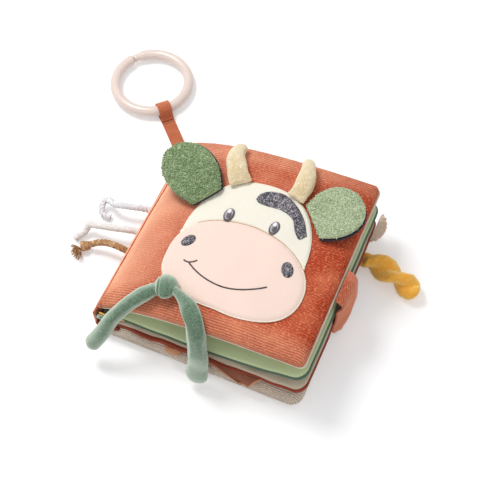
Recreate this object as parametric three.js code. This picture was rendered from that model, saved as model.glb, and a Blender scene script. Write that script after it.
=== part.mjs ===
// A crinkle cloth book: an arched, padded cover with a sewn-on face, two crackling leaves, a padded
// back, and the ears, horns, grass blades, strap, tail, cords and ribbon with a ring that hang on it.
// Millimetres, +X from the spine to the fore-edge, +Y towards the top edge, +Z up. The origin is on
// the floor below the middle of the book. Each group that turns stands at its hinge, and its
// userData.axis is the hinge's direction, so the book opens when the groups turn.
import * as THREE from 'three';

// Driving dimensions
const gap = 0.3;
const book = { width: 150, length: 146, spineHeight: 22.5, foreEdgeHeight: 50, cornerRadius: 9 };
const clothThickness = 1.5;
const foilThickness = 0.4;
const thinEdge = 0.4;
const fullTurn = 2 * Math.PI;

const cover = { archDecay: 41, crown: 6, crownWidth: 18, rollRadius: 1.5, liningThickness: 0.8,
  rimWidth: 5, liningShow: 1, hingeRim: 4.5, foilInset: 10, waddingInset: 7, waddingStart: 14.3 };
const leaf = { rollRadius: 1.6, crown: 3, crownWidth: 14, hingeRise: 16, lowerRim: 2, lowerThickness: 1.2,
  lowerShow: 1.3, upperSetback: 0.9, rimWidth: 4, foilInset: 9, waddingInset: 7,
  spineSetback: 8, riseWidth: 20 };
const leafOne = { hingeHeight: 16.5, flatHeight: 19.8, lift: 14, frontStep: 2, topStep: 2.5, foreStep: 0 };
const leafTwo = { hingeHeight: 11, flatHeight: 13.3, lift: 4.2, frontStep: 4, topStep: 3.5, foreStep: 1.8 };
const liftPowerShare = 2.2;
const back = { thickness: 13, seamHeight: 6.5, seamAllowance: 1.35, rimWidth: 4, crownWidth: 8,
  liningThickness: 1.2, waddingInset: 6, frontStep: 8.3, foreStep: 1.3, spineSetback: 2,
  spineRiseStart: 9, spineRiseEnd: 25 };
const spine = { wall: 1.6, top: 20.1, foot: 3.4, footHeight: 0.9, topInset: 11 };

const applique = { thickness: 1.6, muzzleThickness: 2, patchThickness: 1, eyeThickness: 1.2, stitch: 0.7 };
const muzzle = { halfWidth: 48.3, halfHeight: 33, droop: 6.3 };
const forehead = { halfWidth: 43.6, height: 55 };
const eye = { halfWidth: 4.2, halfHeight: 4.8 };
const nostril = { halfWidth: 4.3, halfHeight: 5.2, lean: 1.6 };
const smile = { halfWidth: 27, depth: 10, width: 2 };
const knot = { halfWidth: 8.2, halfDepth: 7.6, halfHeight: 4.6 };

const ear = { backThickness: 1.6, frontThickness: 3.4, frontInset: 1.6, cup: 2.2 };
const leftEar = { length: 49, width: 38, rise: 26, settle: 0.7 };
const rightEar = { length: 36, width: 39, rise: 4, settle: 2.35 };
const horn = { halfThickness: 4.5, tipRadius: 3 };
const leftHorn = { baseWidth: 17, middleWidth: 14.8, tipWidth: 8.4, settle: 1.1 };
const rightHorn = { baseWidth: 14, middleWidth: 13.6, tipWidth: 8, settle: 0.85 };
const leftBlade = { width: 10.6, thickness: 9.4, tipWidth: 12.6, restLift: 1.5 };
const rightBlade = { width: 12, thickness: 7, tipWidth: 17, restLift: 2.42 };

const strap = { width: 25, tipWidth: 11, thickness: 2.6, bulge: 8.5, tipOut: 5.6, tipHeight: 4, drift: 4.4,
  patchThickness: 0.9, patchLength: 7, patchWidth: 7 };
const tail = { width: 14.5, thickness: 9, neckWidth: 7, neckThickness: 6, restHeight: 7.5 };
const tailTurnShare = 1.1;
const ribbon = { width: 10, thickness: 1.2, rootWidth: 4, rootHeight: 5.5, rootLength: 13.4, rootOffset: 3.2,
  length: 30.5, hingeHeight: 2.2, clearance: 0.9 };
const ring = { radius: 28.9, tubeRadius: 4, endRadius: 3, notch: 1.4, pinLength: 6.5 };
const ringNotchDegrees = 147;
const cord = { radius: 2.3 };
const tagLoop = { width: 12, depth: 3.6, thickness: 2.2 };
const tagFold = { topWidth: 28, tipWidth: 9, drop: 8, thickness: 1.5, overhang: 5.6 };
const ruffle = { length: 24, depth: 8.5, thickness: 1.1, wave: 1.8 };
const tuft = { strandRadius: 0.75, length: 7.5, spread: 3.2 };

// How finely each form is cut
const crownShares = [0, 0.04, 0.14, 0.39, 0.6, 0.8, 1];
const coarseCrownShares = [0, 0.14, 0.5, 1];
const backCrownShares = [0, 0.14, 0.4, 0.75, 1];
const roundShares = [0, 0.3, 1, 2, 2.3];
const limbEndShares = [0.06, 0.3, 0.65];
const clothRowShares = { two: [0, 0.5, 1], four: [0, 0.3, 0.7, 1], six: [0, 0.12, 0.3, 0.5, 0.7, 0.88, 1] };
const clothEndShare = 0.985;
const clothFullnessShare = 2.5;
const cuts = { coverAlong: 7, coverAcross: 5, liningAlong: 14, leafAlong: 7, leafAcross: 2, backAlong: 5,
  backAcross: 3, muzzle: 18, forehead: 16, patch: 12, smile: 14, oval: 8, blade: 11, horn: 8,
  tail: 18, ring: 32, ruffle: 20, ribbon: 7, ribbonRoot: 6 };
const sides = { limb: 10, ring: 8, tuft: 10 };
const weldShare = 0.001;
const plain = { bevelEnabled: false, curveSegments: 4 };

// Shares of the cover: along it from the spine, and from its middle towards the top edge
const faceShares = { muzzle: [0.566, -0.175], forehead: [0.551, -0.082], eyeLeft: 0.436, eyeRight: 0.646,
  nostrilLeft: 0.322, nostrilRight: 0.776, nostrilHeight: -0.11, smile: [0.55, -0.222], knot: [0.347, -0.387],
  patch: [0.52, 0.785], leftEar: { root: [[0.272, 0.08], [0.355, 0.198]], tip: [0.03, 0.36] },
  rightEar: { root: [[0.853, 0.09], [0.74, 0.232]], tip: [0.9, 0.38] },
  strap: -0.055, ruffle: 0.325 };
const patchShares = {
  upper: [[0.515, 0.225], [0.56, 0.262], [0.625, 0.265], [0.69, 0.228], [0.75, 0.165], [0.79, 0.1]],
  lower: [[0.515, 0.2], [0.56, 0.178], [0.64, 0.178], [0.7, 0.15], [0.74, 0.07], [0.79, 0.07]] };
const hornShares = { left: [[0.421, 0.238, 0], [0.375, 0.325, 0], [0.35, 0.4, 0], [0.352, 0.47, -0.3]],
  right: [[0.678, 0.252, 0], [0.694, 0.33, 0], [0.68, 0.41, 0], [0.655, 0.478, -0.2]], tip: 0.75 };
const leftBladeShares = { root: [0.305, -0.4117], rest: [0.245, -0.475], taper: [0.62, 0.22],
  hanging: [[-0.36, -0.42, 0.76], [-0.395, 0.45, 0.56], [-0.445, 1.3, 0.3]] };
const rightBladeShares = { root: [0.4023, -0.387], chin: [0.46, -0.437], rest: [0.51, -0.492],
  taper: [0.5, 0.25],
  hanging: [[0.038, -0.25, 0.72], [0.043, 0.15, 0.42], [0.043, 0.85, 0.14]] };
const bladeLeanShare = -0.35;
const grassKnotCuts = { across: 12, along: 8 };
const faceRoundnessShares = { spine: 2.5, fore: 2.2 };
const earShares = { along: [0, 0.08, 0.18, 0.3, 0.42, 0.54, 0.66, 0.77, 0.86, 0.93, 0.975, 0.995],
  across: [-1, -0.75, -0.35, 0.35, 0.75, 1], widest: 0.46, leftBase: 0.6, rightBase: 0.7, rootFullness: 0.2 };
const earRoundnessShares = { tip: 2.1, ends: 2.4, sides: 1.25 };
const leafLiftShare = 0.3;
const leafRiseShare = 0.34;
const strapShares = { along: [0, 0.06, 0.14, 0.24, 0.34, 0.45, 0.56, 0.68, 0.8, 0.9, 0.96, 1],
  across: [-1, -0.86, -0.4, 0.4, 0.86, 1], tip: 0.82, tipWidth: 0.45, tipThickness: 0.7, patch: 0.9,
  shoulder: [0.7, 0.06], heights: [0.72, 0.45, 0.2] };
const tagShares = { loop: 0.33, fold: 0.6, along: [0, 0.15, 0.3, 0.5, 0.7, 0.85, 1],
  across: [0, 0.25, 0.5, 0.75, 1], slant: 0.72, lean: 0.8, tipLean: 0.5 };
const ruffleShares = { across: [0, 0.3, 0.65, 1], ends: 0.75 };
const ruffleWaveShare = 3;
const tailShares = { swell: 0.12, route: [[0, 0.272, 0.87], [0.05, 0.27, 0.96], [0.115, 0.258, 1],
  [0.18, 0.236, 1], [0.245, 0.215, 1], [0.295, 0.228, 1]] };
const ribbonShares = { out: [-0.7, 0.714], across: [-1, -0.4, 0.4, 1], rootSwell: 0.7, loop: 1.9,
  shoulder: 0.4, holeStart: 0.45, holeShoulder: 0.7, holeEnd: 0.35 };
const tuftShares = { heading: [-0.56, -0.83], profile: [[0, 0.45], [0.3, 0.8], [0.7, 1], [1, 0.9]] };

// Places
const spineX = -book.width / 2;
const foreX = book.width / 2;
const coverFront = -book.length / 2;
const coverTop = book.length / 2;
const coverSeam = 2 * cover.rollRadius;
const leafSeam = 2 * leaf.rollRadius;

const colours = { terracotta: 0xcd6446, cream: 0xfaf6e8, ivory: 0xf6f3e7, sage: 0x86a386, darkSage: 0x466446,
  paleGreen: 0xc8d7aa, beige: 0xcdb9a5, red: 0xbe4b32, wadding: 0xf4f2ee, foil: 0xd8dce0,
  charcoal: 0x46464e, teddy: 0xa0bb92, pink: 0xfae6de, stitch: 0x6e696e, horn: 0xe1cda0, white: 0xebebeb,
  offWhite: 0xf0ebe6, brown: 0xaf875f, tan: 0xc8a078, peach: 0xf0c8aa, yellow: 0xe8a838, ring: 0xe8d7d0 };

const clothRoughness = 0.9;
const foilRoughness = 0.3;
const plasticRoughness = 0.25;

const clamp = THREE.MathUtils.clamp;
const mix = THREE.MathUtils.lerp;
const smooth = (share) => THREE.MathUtils.smoothstep(share, 0, 1);
const dome = (distance, width) => Math.sqrt(1 - (1 - clamp(distance / width, 0, 1)) ** 2);
const bulge = (share, power) => Math.max(0, 1 - Math.abs(share) ** power) ** (1 / power);
const even = (count, low, high) => Array.from({ length: count + 1 },
  (_, index) => mix(low, high, index / count));

// Solids made from points

// Turns lists of points and faces into a geometry whose faces point out.
function closedGeometry(points, faces) {
  const volume = faces.reduce((sum, [a, b, c]) => sum + points[a].dot(points[b].clone().cross(points[c])), 0);
  const outward = volume < 0 ? faces.map(([a, b, c]) => [a, c, b]) : faces;
  const geometry = new THREE.BufferGeometry().setFromPoints(points);
  geometry.setIndex(outward.flat());
  return geometry;
}

// Closes an upper and a lower grid of points, of the same rows and columns, into one solid.
function slab(upper, lower) {
  const rows = upper.length;
  const columns = upper[0].length;
  const count = rows * columns;
  const points = [...upper.flat(), ...lower.flat()];
  const at = (row, column) => row * columns + column;
  const faces = [];
  const quad = (a, b, c, d) => faces.push([a, b, c], [a, c, d]);
  for (let row = 0; row < rows - 1; row += 1) {
    for (let column = 0; column < columns - 1; column += 1) {
      quad(at(row, column), at(row + 1, column), at(row + 1, column + 1), at(row, column + 1));
      quad(count + at(row, column), count + at(row, column + 1), count + at(row + 1, column + 1),
        count + at(row + 1, column));
    }
  }
  const rim = [];
  for (let column = 0; column < columns - 1; column += 1) rim.push(at(0, column));
  for (let row = 0; row < rows - 1; row += 1) rim.push(at(row, columns - 1));
  for (let column = columns - 1; column > 0; column -= 1) rim.push(at(rows - 1, column));
  for (let row = rows - 1; row > 0; row -= 1) rim.push(at(row, 0));
  rim.forEach((corner, index) => {
    const next = rim[(index + 1) % rim.length];
    quad(corner, next, count + next, count + corner);
  });
  return closedGeometry(points, faces);
}

// Skins elliptical sections, each with a centre and two half axes as vectors, into one solid.
function loft(sections, count) {
  const points = [];
  const faces = [];
  for (const { centre, across, up } of sections) {
    for (let side = 0; side < count; side += 1) {
      const angle = (fullTurn * side) / count;
      points.push(centre.clone().addScaledVector(across, Math.cos(angle))
        .addScaledVector(up, Math.sin(angle)));
    }
  }
  const start = points.push(sections[0].centre.clone()) - 1;
  const end = points.push(sections[sections.length - 1].centre.clone()) - 1;
  const last = (sections.length - 1) * count;
  for (let side = 0; side < count; side += 1) {
    const next = (side + 1) % count;
    for (let row = 0; row < last; row += count) {
      faces.push([row + side, row + next, row + count + next]);
      faces.push([row + side, row + count + next, row + count + side]);
    }
    faces.push([start, next, side], [end, last + side, last + next]);
  }
  return closedGeometry(points, faces);
}

// A stuffed limb along a curve: half width and half thickness by share of the length, ends rounded.
function limb(curve, form) {
  const { halfWidth, halfThickness, reference, turn = () => 0, startRound = 0, endRound, steps } = form;
  const length = curve.getLength();
  const endStations = limbEndShares.map((share) => 1 - (share * endRound) / length).reverse();
  const startStations = startRound > 0 ? limbEndShares.map((share) => (share * startRound) / length) : [0];
  const middle = even(steps, Math.max(startRound / length, 1 / steps / 2), 1 - endRound / length);
  const sections = [...startStations, ...middle, ...endStations].map((share) => {
    const centre = curve.getPointAt(share);
    const tangent = curve.getTangentAt(share);
    const up = reference.clone().addScaledVector(tangent, -reference.dot(tangent)).normalize();
    up.applyAxisAngle(tangent, turn(share));
    const across = tangent.clone().cross(up);
    const startScale = startRound > 0 ? dome(share * length, startRound) : 1;
    const scale = dome((1 - share) * length, endRound) * startScale;
    return { centre, across: across.multiplyScalar(halfWidth(share) * scale),
      up: up.multiplyScalar(halfThickness(share) * scale) };
  });
  return loft(sections, sides.limb);
}

// A line in the XZ plane that carries flat cloth: s runs along it, h stands off it.
class Bend {
  constructor(height, startX, endX, step) {
    this.samples = [];
    let length = 0;
    let previous = null;
    const count = Math.ceil((endX - startX) / step);
    for (const x of even(count, startX, endX)) {
      const z = height(x);
      if (previous) length += Math.hypot(x - previous.x, z - previous.z);
      previous = { x, z, s: length };
      this.samples.push(previous);
    }
    this.length = length;
  }

  place(s, y, h) {
    const { samples } = this;
    let low = 0;
    let high = samples.length - 1;
    while (high - low > 1) {
      const middle = (low + high) >> 1;
      if (samples[middle].s > s) high = middle;
      else low = middle;
    }
    const from = samples[low];
    const to = samples[high];
    const share = (s - from.s) / (to.s - from.s);
    const before = samples[Math.max(low - 1, 0)];
    const after = samples[Math.min(high + 1, samples.length - 1)];
    const slope = mix((to.z - before.z) / (to.x - before.x), (after.z - from.z) / (after.x - from.x), share);
    const normal = new THREE.Vector2(-slope, 1).normalize();
    return new THREE.Vector3(mix(from.x, to.x, share) + normal.x * h, y,
      mix(from.z, to.z, share) + normal.y * h);
  }
}

// Positions across a panel: crowded in both crowns, even between them.
function crownStations(low, high, width, count, { lead = [0], shares = crownShares } = {}) {
  const near = shares.map((share) => share * width);
  const first = [...lead.slice(0, -1), ...near.map((step) => step + lead[lead.length - 1])];
  const middle = even(count, low + first[first.length - 1], high - width).slice(1, -1);
  return [...first.map((step) => low + step), ...middle, ...near.map((step) => high - step).reverse()];
}

// How far a point lies inside a panel's edge, with two rounded corners on the side away from the hinge.
function edgeDistance(box, radius, x, y, hingeRim) {
  const fromFore = box.x1 - x;
  const fromEnd = Math.min(y - box.y0, box.y1 - y);
  const inCorner = fromFore < radius && fromEnd < radius;
  const edge = inCorner ? radius - Math.hypot(radius - fromFore, radius - fromEnd)
    : Math.min(fromFore, fromEnd);
  return Math.max(0, Math.min(edge, x - box.x0 - hingeRim));
}

// A panel of cloth over a rounded outline. top and bottom give heights from the distance to the edge
// and the place; place puts a point with its height into the book.
function panel({ box, radius, hingeRadius, hingeRim, xs, ys, top, bottom, place }) {
  const inset = (cornerRadius, fromEnd) => cornerRadius
    - Math.sqrt(cornerRadius ** 2 - Math.max(0, cornerRadius - fromEnd) ** 2);
  const grid = (height) => ys.map((y) => {
    const fromEnd = Math.min(y - box.y0, box.y1 - y);
    const low = box.x0 + inset(hingeRadius, fromEnd);
    const high = box.x1 - inset(radius, fromEnd);
    return xs.map((nominal) => {
      const x = mix(low, high, (nominal - box.x0) / (box.x1 - box.x0));
      const distance = edgeDistance(box, radius, x, y, hingeRim);
      return place(x, y, height(distance, nominal, y));
    });
  });
  return slab(grid(top), grid(bottom));
}

// The stations of a piece that lies inside another, between its own two ends.
const inside = (stations, low, high) => [low,
  ...stations.filter((at) => at > low + gap && at < high - gap), high];

// Half the height of the rounded edge that a panel turns on.
const rollHalf = (radius, step) => Math.max(thinEdge, radius * dome(step, radius));

// The groups that carry the pieces
const bookGroup = new THREE.Group();

// A body that turns about an axis through its pivot, carried by another body.
function hingedBody(name, parent, pivot, axis) {
  const group = new THREE.Group();
  group.name = name;
  group.userData.pivot = pivot.clone();
  group.userData.axis = axis.clone().normalize();
  group.position.copy(pivot).sub(parent.userData.pivot ?? new THREE.Vector3());
  parent.add(group);
  return group;
}

function addPiece(body, name, geometry, colour, roughness = clothRoughness) {
  const faceted = geometry.index ? geometry.toNonIndexed() : geometry;
  faceted.computeVertexNormals();
  const material = new THREE.MeshStandardMaterial({ color: colour, roughness, metalness: 0 });
  const mesh = new THREE.Mesh(faceted, material);
  mesh.name = name;
  if (body.userData.pivot) mesh.position.copy(body.userData.pivot).negate();
  body.add(mesh);
  return mesh;
}

// The line of the cover's inner face: steep at the spine, level at the fore-edge
const coverStartX = spineX + cover.rollRadius + thinEdge / 2;
const coverStartZ = book.spineHeight - coverSeam;
const coverEndZ = book.foreEdgeHeight - coverSeam;
const archFull = 1 - Math.exp(-(foreX - coverStartX) / cover.archDecay);
const archHeight = (x) => coverStartZ
  + ((coverEndZ - coverStartZ) * (1 - Math.exp(-(x - coverStartX) / cover.archDecay))) / archFull;
const bendStep = cover.rollRadius / 2;
const coverBend = new Bend(archHeight, coverStartX, foreX, bendStep);
const coverBox = { x0: 0, x1: coverBend.length, y0: coverFront, y1: coverTop };
const coverPlace = (s, y, h) => coverBend.place(s, y, h);
const coverSkin = (distance) => coverSeam + cover.crown * dome(distance, cover.crownWidth);
const skinAt = (s, y) => coverSkin(edgeDistance(coverBox, book.cornerRadius, s, y, cover.hingeRim));
const coverPivot = coverPlace(cover.rollRadius, 0, cover.rollRadius);
const openAxis = new THREE.Vector3(0, -1, 0);
const frontCover = hingedBody('front_cover', bookGroup, coverPivot, openAxis);

function buildFrontCover() {
  const { rollRadius, liningThickness, rimWidth, hingeRim, crownWidth } = cover;
  const clothFloor = liningThickness + gap;
  const clothBox = { ...coverBox, x1: coverBox.x1 - cover.liningShow };
  const underside = (distance) => mix(clothFloor, coverSkin(distance) - clothThickness,
    smooth((distance - rimWidth) / rimWidth));
  const rollStations = roundShares.map((share) => share * rollRadius);
  const leads = [...rollStations, hingeRim];
  const xs = crownStations(0, clothBox.x1, crownWidth, cuts.coverAlong, { lead: leads });
  const ys = crownStations(coverFront, coverTop, crownWidth, cuts.coverAcross);
  const base = { radius: book.cornerRadius, hingeRadius: rollRadius, hingeRim: 0, place: coverPlace };
  addPiece(frontCover, 'front_cover_cloth', panel({ ...base, box: clothBox, hingeRim, xs, ys,
    top: (distance, s) => (s < rollRadius ? rollRadius + rollHalf(rollRadius, s) : coverSkin(distance)),
    bottom: (distance, s) => (s < coverSeam + thinEdge / 2 ? rollRadius - rollHalf(rollRadius, s)
      : underside(distance)),
  }), colours.terracotta);

  const liningStart = coverSeam + cover.liningShow;
  const liningBox = { ...coverBox, x0: liningStart };
  addPiece(frontCover, 'front_cover_lining', panel({ ...base, box: liningBox,
    xs: even(cuts.liningAlong, liningStart, coverBox.x1),
    ys: crownStations(coverFront, coverTop, book.cornerRadius, 1, { shares: coarseCrownShares }),
    top: () => liningThickness, bottom: () => 0 }), colours.cream);

  const inset = cover.waddingInset;
  const padBox = { x0: cover.waddingStart, x1: clothBox.x1 - inset, y0: coverFront + inset,
    y1: coverTop - inset };
  const padFloor = clothFloor + foilThickness + gap;
  const padCeiling = (distance) => Math.max(padFloor + thinEdge, underside(distance + inset) - gap);
  addPiece(frontCover, 'front_cover_wadding', panel({ ...base, box: padBox,
    radius: book.cornerRadius - rimWidth, xs: inside(xs, padBox.x0, padBox.x1),
    ys: inside(ys, padBox.y0, padBox.y1),
    top: padCeiling, bottom: () => padFloor }), colours.wadding);

  const foilInset = cover.foilInset;
  const foilBox = { x0: hingeRim + foilInset, x1: clothBox.x1 - foilInset, y0: coverFront + foilInset,
    y1: coverTop - foilInset };
  addPiece(frontCover, 'front_cover_foil', panel({ ...base, box: foilBox, radius: rollRadius,
    xs: even(cuts.liningAlong, foilBox.x0, foilBox.x1),
    ys: [foilBox.y0, foilBox.y0 + rollRadius, foilBox.y1 - rollRadius, foilBox.y1],
    top: () => clothFloor + foilThickness, bottom: () => clothFloor }), colours.foil, foilRoughness);
}
buildFrontCover();

// The face, laid flat on the cover's skin
const faceS = (share) => share * coverBox.x1;
const faceY = (share) => share * book.length;
const facePlace = ([along, up]) => ({ s: faceS(along), y: faceY(up) });
const muzzleCentre = facePlace(faceShares.muzzle);
const foreheadCentre = facePlace(faceShares.forehead);
const faceBulge = (share) => bulge(share, share < 0 ? faceRoundnessShares.spine : faceRoundnessShares.fore);
const muzzleMiddle = (share) => muzzleCentre.y - muzzle.droop * Math.max(0, share);
const muzzleHalf = (share) => muzzle.halfHeight * faceBulge(share);
const muzzleUpper = (s) => {
  const share = clamp((s - muzzleCentre.s) / muzzle.halfWidth, -1, 1);
  return muzzleMiddle(share) + muzzleHalf(share);
};
const faceFloor = (s, y) => skinAt(s, y) + gap;
const foreheadTop = (s, y) => faceFloor(s, y) + applique.thickness;

// Cloth cut to the lines low(s) and high(s), laid at floor(s, y), its edges thinner than its middle.
function appliquePiece({ from, to, low, high, floor, thickness, columns, rows }) {
  const angles = even(columns, 0, Math.PI);
  const grid = (lift) => angles.map((angle) => {
    const along = -Math.cos(angle) * clothEndShare;
    const s = mix(from, to, (1 + along) / 2);
    return rows.map((share) => {
      const y = mix(low(s), high(s), share);
      const body = Math.sqrt(Math.max(0, 1 - (2 * share - 1) ** 2) * (1 - along ** 2));
      const height = mix(applique.stitch, thickness, smooth(body * clothFullnessShare));
      return coverPlace(s, y, floor(s, y) + lift * height);
    });
  });
  return slab(grid(1), grid(0));
}

// An oval of cloth, leaning to one side.
function ovalPiece(centre, half, lean, floor, thickness) {
  const arch = (s) => half.y * bulge((s - centre.s) / half.s, 2);
  const shift = (s) => (lean * (s - centre.s)) / half.s;
  return appliquePiece({ from: centre.s - half.s, to: centre.s + half.s, floor, thickness, columns: cuts.oval,
    rows: clothRowShares.four, low: (s) => centre.y + shift(s) - arch(s),
    high: (s) => centre.y + shift(s) + arch(s) });
}

// A smooth line through points given as shares of the cover.
function shareLine(shares) {
  const points = shares.map(([s, y]) => new THREE.Vector2(faceS(s), faceY(y)));
  const curve = new THREE.SplineCurve(points);
  const samples = curve.getPoints(points.length * cuts.coverAlong);
  return (s) => {
    const index = samples.findIndex((sample) => sample.x >= s);
    if (index <= 0) return index < 0 ? samples[samples.length - 1].y : samples[0].y;
    const [from, to] = [samples[index - 1], samples[index]];
    return mix(from.y, to.y, (s - from.x) / (to.x - from.x));
  };
}

function buildFace() {
  const foreheadHalf = (s) => forehead.height * faceBulge((s - foreheadCentre.s) / forehead.halfWidth);
  addPiece(frontCover, 'face_forehead', appliquePiece({
    from: foreheadCentre.s - forehead.halfWidth, to: foreheadCentre.s + forehead.halfWidth,
    low: (s) => muzzleUpper(s) + applique.stitch, floor: faceFloor, thickness: applique.thickness,
    high: (s) => Math.max(foreheadCentre.y + foreheadHalf(s), muzzleUpper(s) + 2 * applique.stitch),
    columns: cuts.forehead, rows: clothRowShares.four }), colours.ivory);
  addPiece(frontCover, 'face_muzzle', appliquePiece({
    from: muzzleCentre.s - muzzle.halfWidth, to: muzzleCentre.s + muzzle.halfWidth, floor: faceFloor,
    low: (s) => {
      const share = (s - muzzleCentre.s) / muzzle.halfWidth;
      return muzzleMiddle(share) - muzzleHalf(share);
    },
    high: muzzleUpper, thickness: applique.muzzleThickness, columns: cuts.muzzle, rows: clothRowShares.six }),
    colours.pink);

  const onForehead = (s, y) => foreheadTop(s, y) + gap;
  const [patchFrom, patchTo] = faceShares.patch;
  addPiece(frontCover, 'face_patch', appliquePiece({ from: faceS(patchFrom), to: faceS(patchTo),
    low: shareLine(patchShares.lower), high: shareLine(patchShares.upper), floor: onForehead,
    thickness: applique.patchThickness, columns: cuts.patch, rows: clothRowShares.four }), colours.charcoal);

  const eyeHalf = { s: eye.halfWidth, y: eye.halfHeight };
  const eyeHeight = (s) => muzzleUpper(s) + eye.halfHeight + applique.stitch;
  [['eye_left', faceShares.eyeLeft], ['eye_right', faceShares.eyeRight]].forEach(([name, share]) => {
    const s = faceS(share);
    const centre = { s, y: Math.max(eyeHeight(s - eye.halfWidth), eyeHeight(s)) };
    addPiece(frontCover, name, ovalPiece(centre, eyeHalf, 0, onForehead, applique.eyeThickness),
      colours.stitch);
  });

  const muzzleTop = (s, y) => faceFloor(s, y) + applique.muzzleThickness + gap;
  const nostrilHalf = { s: nostril.halfWidth, y: nostril.halfHeight };
  const nostrils = [['nostril_left', faceShares.nostrilLeft, 1],
    ['nostril_right', faceShares.nostrilRight, -1]];
  nostrils.forEach(([name, share, side]) => {
    const centre = facePlace([share, faceShares.nostrilHeight]);
    const lean = side * nostril.lean;
    addPiece(frontCover, name, ovalPiece(centre, nostrilHalf, lean, muzzleTop, applique.stitch),
      colours.stitch);
  });
  const smileCentre = facePlace(faceShares.smile);
  const smileLine = (s) => smileCentre.y - smile.depth * (1 - ((s - smileCentre.s) / smile.halfWidth) ** 2);
  addPiece(frontCover, 'smile', appliquePiece({ from: smileCentre.s - smile.halfWidth,
    to: smileCentre.s + smile.halfWidth, low: (s) => smileLine(s) - smile.width / 2,
    high: (s) => smileLine(s) + smile.width / 2, floor: muzzleTop, thickness: applique.stitch,
    columns: cuts.smile, rows: clothRowShares.two }), colours.stitch);
}
buildFace();

// The height above the cover at which the loose pieces lie on the face.
const looseFloor = (s, y) => faceFloor(s, y) + applique.muzzleThickness + gap;

// The knot and the two stuffed blades of grass
const knotPlace = facePlace(faceShares.knot);
const knotFloor = looseFloor(knotPlace.s, knotPlace.y);
const knotCentre = coverPlace(knotPlace.s, knotPlace.y, knotFloor + knot.halfHeight);

function buildKnot() {
  const geometry = new THREE.SphereGeometry(1, grassKnotCuts.across, grassKnotCuts.along);
  geometry.scale(knot.halfWidth, knot.halfDepth, knot.halfHeight);
  geometry.translate(...knotCentre);
  addPiece(frontCover, 'grass_knot', weld(geometry), colours.sage);
}

// Joins a sphere's seam and poles, so that it is one closed skin.
function weld(geometry) {
  const position = geometry.getAttribute('position');
  const points = [];
  const numbers = new Map();
  const index = [];
  for (let vertex = 0; vertex < position.count; vertex += 1) {
    const point = new THREE.Vector3().fromBufferAttribute(position, vertex);
    const key = point.toArray().map((value) => Math.round(value / (thinEdge * weldShare))).join(' ');
    if (!numbers.has(key)) numbers.set(key, points.push(point) - 1);
    index.push(numbers.get(key));
  }
  const source = geometry.index ? Array.from(geometry.index.array) : Array.from(index.keys());
  const faces = [];
  for (let corner = 0; corner < source.length; corner += 3) {
    const face = [index[source[corner]], index[source[corner + 1]], index[source[corner + 2]]];
    if (new Set(face).size === 3) faces.push(face);
  }
  return closedGeometry(points, faces);
}
buildKnot();

function buildBlade({ name, size, points, taperShares }) {
  const curve = new THREE.CatmullRomCurve3(points, false, 'centripetal');
  const direction = points[1].clone().sub(points[0]).setZ(0).normalize();
  const axis = direction.clone().cross(new THREE.Vector3(0, 0, -1));
  const [startShare, fullShare] = taperShares;
  const startRound = (startShare * size.thickness) / 2;
  const body = hingedBody(name, frontCover, curve.getPointAt(startRound / curve.getLength()), axis);
  const widen = (share) => mix(startShare, 1, smooth(share / fullShare));
  addPiece(body, name, limb(curve, {
    halfWidth: (share) => (mix(size.width, size.tipWidth, smooth(share)) / 2) * widen(share),
    halfThickness: (share) => (size.thickness / 2) * widen(share),
    reference: new THREE.Vector3(0, bladeLeanShare, 1).normalize(), startRound,
    endRound: size.tipWidth / 2, steps: cuts.blade,
  }), colours.sage);
}

const bladeHeight = (s, y, size) => faceFloor(s, y) + size.thickness / 2 + gap;
const onSkin = ([along, up], size) => coverPlace(faceS(along), faceY(up),
  bladeHeight(faceS(along), faceY(up), size) + size.restLift);
const knotSide = ([along, up]) => coverPlace(faceS(along), faceY(up), knotFloor + knot.halfHeight);
const frontFace = coverFront - back.frontStep;
const inFront = (size) => ([along, out, up]) => new THREE.Vector3(along * book.width,
  frontFace - size.thickness / 2 - out * size.thickness, up * book.foreEdgeHeight);
buildBlade({ name: 'grass_blade_left', size: leftBlade, taperShares: leftBladeShares.taper,
  points: [knotSide(leftBladeShares.root), onSkin(leftBladeShares.rest, leftBlade),
    ...leftBladeShares.hanging.map(inFront(leftBlade))] });
const chin = facePlace(rightBladeShares.chin);
buildBlade({ name: 'grass_blade_right', size: rightBlade, taperShares: rightBladeShares.taper,
  points: [knotSide(rightBladeShares.root),
    coverPlace(chin.s, chin.y, looseFloor(chin.s, chin.y) + rightBlade.thickness / 2 + gap),
    onSkin(rightBladeShares.rest, rightBlade),
    ...rightBladeShares.hanging.map(inFront(rightBlade))] });

// Half the width of an ear at a share of its length
function earHalf(size, share, baseShare) {
  const { widest } = earShares;
  if (share < widest) return (size.width / 2) * mix(baseShare, 1, Math.sin(((share / widest) * Math.PI) / 2));
  return (size.width / 2) * bulge((share - widest) / (1 - widest), earRoundnessShares.tip);
}

// One layer of an ear in its own frame: x across, y from its root to its tip, z up.
function earLayer(size, baseShare, inset, floor, thickness) {
  const layer = (lift) => earShares.along.map((share) => {
    const half = Math.max(earHalf(size, share, baseShare) - inset, inset / 2 + gap);
    const along = clamp(share * size.length, inset / 2, size.length - inset);
    const ends = Math.min(1, earRoundnessShares.ends * Math.min(share + earShares.rootFullness, 1 - share));
    return earShares.across.map((across) => {
      const rise = ear.cup * ((half * across) / (size.width / 2)) ** 2;
      const body = Math.min(1, earRoundnessShares.sides * Math.sqrt((1 - across ** 2) * ends));
      return new THREE.Vector3(half * across, along,
        floor + rise + lift * mix(Math.min(thickness, applique.stitch), thickness, body));
    });
  });
  return slab(layer(1), layer(0));
}

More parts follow.
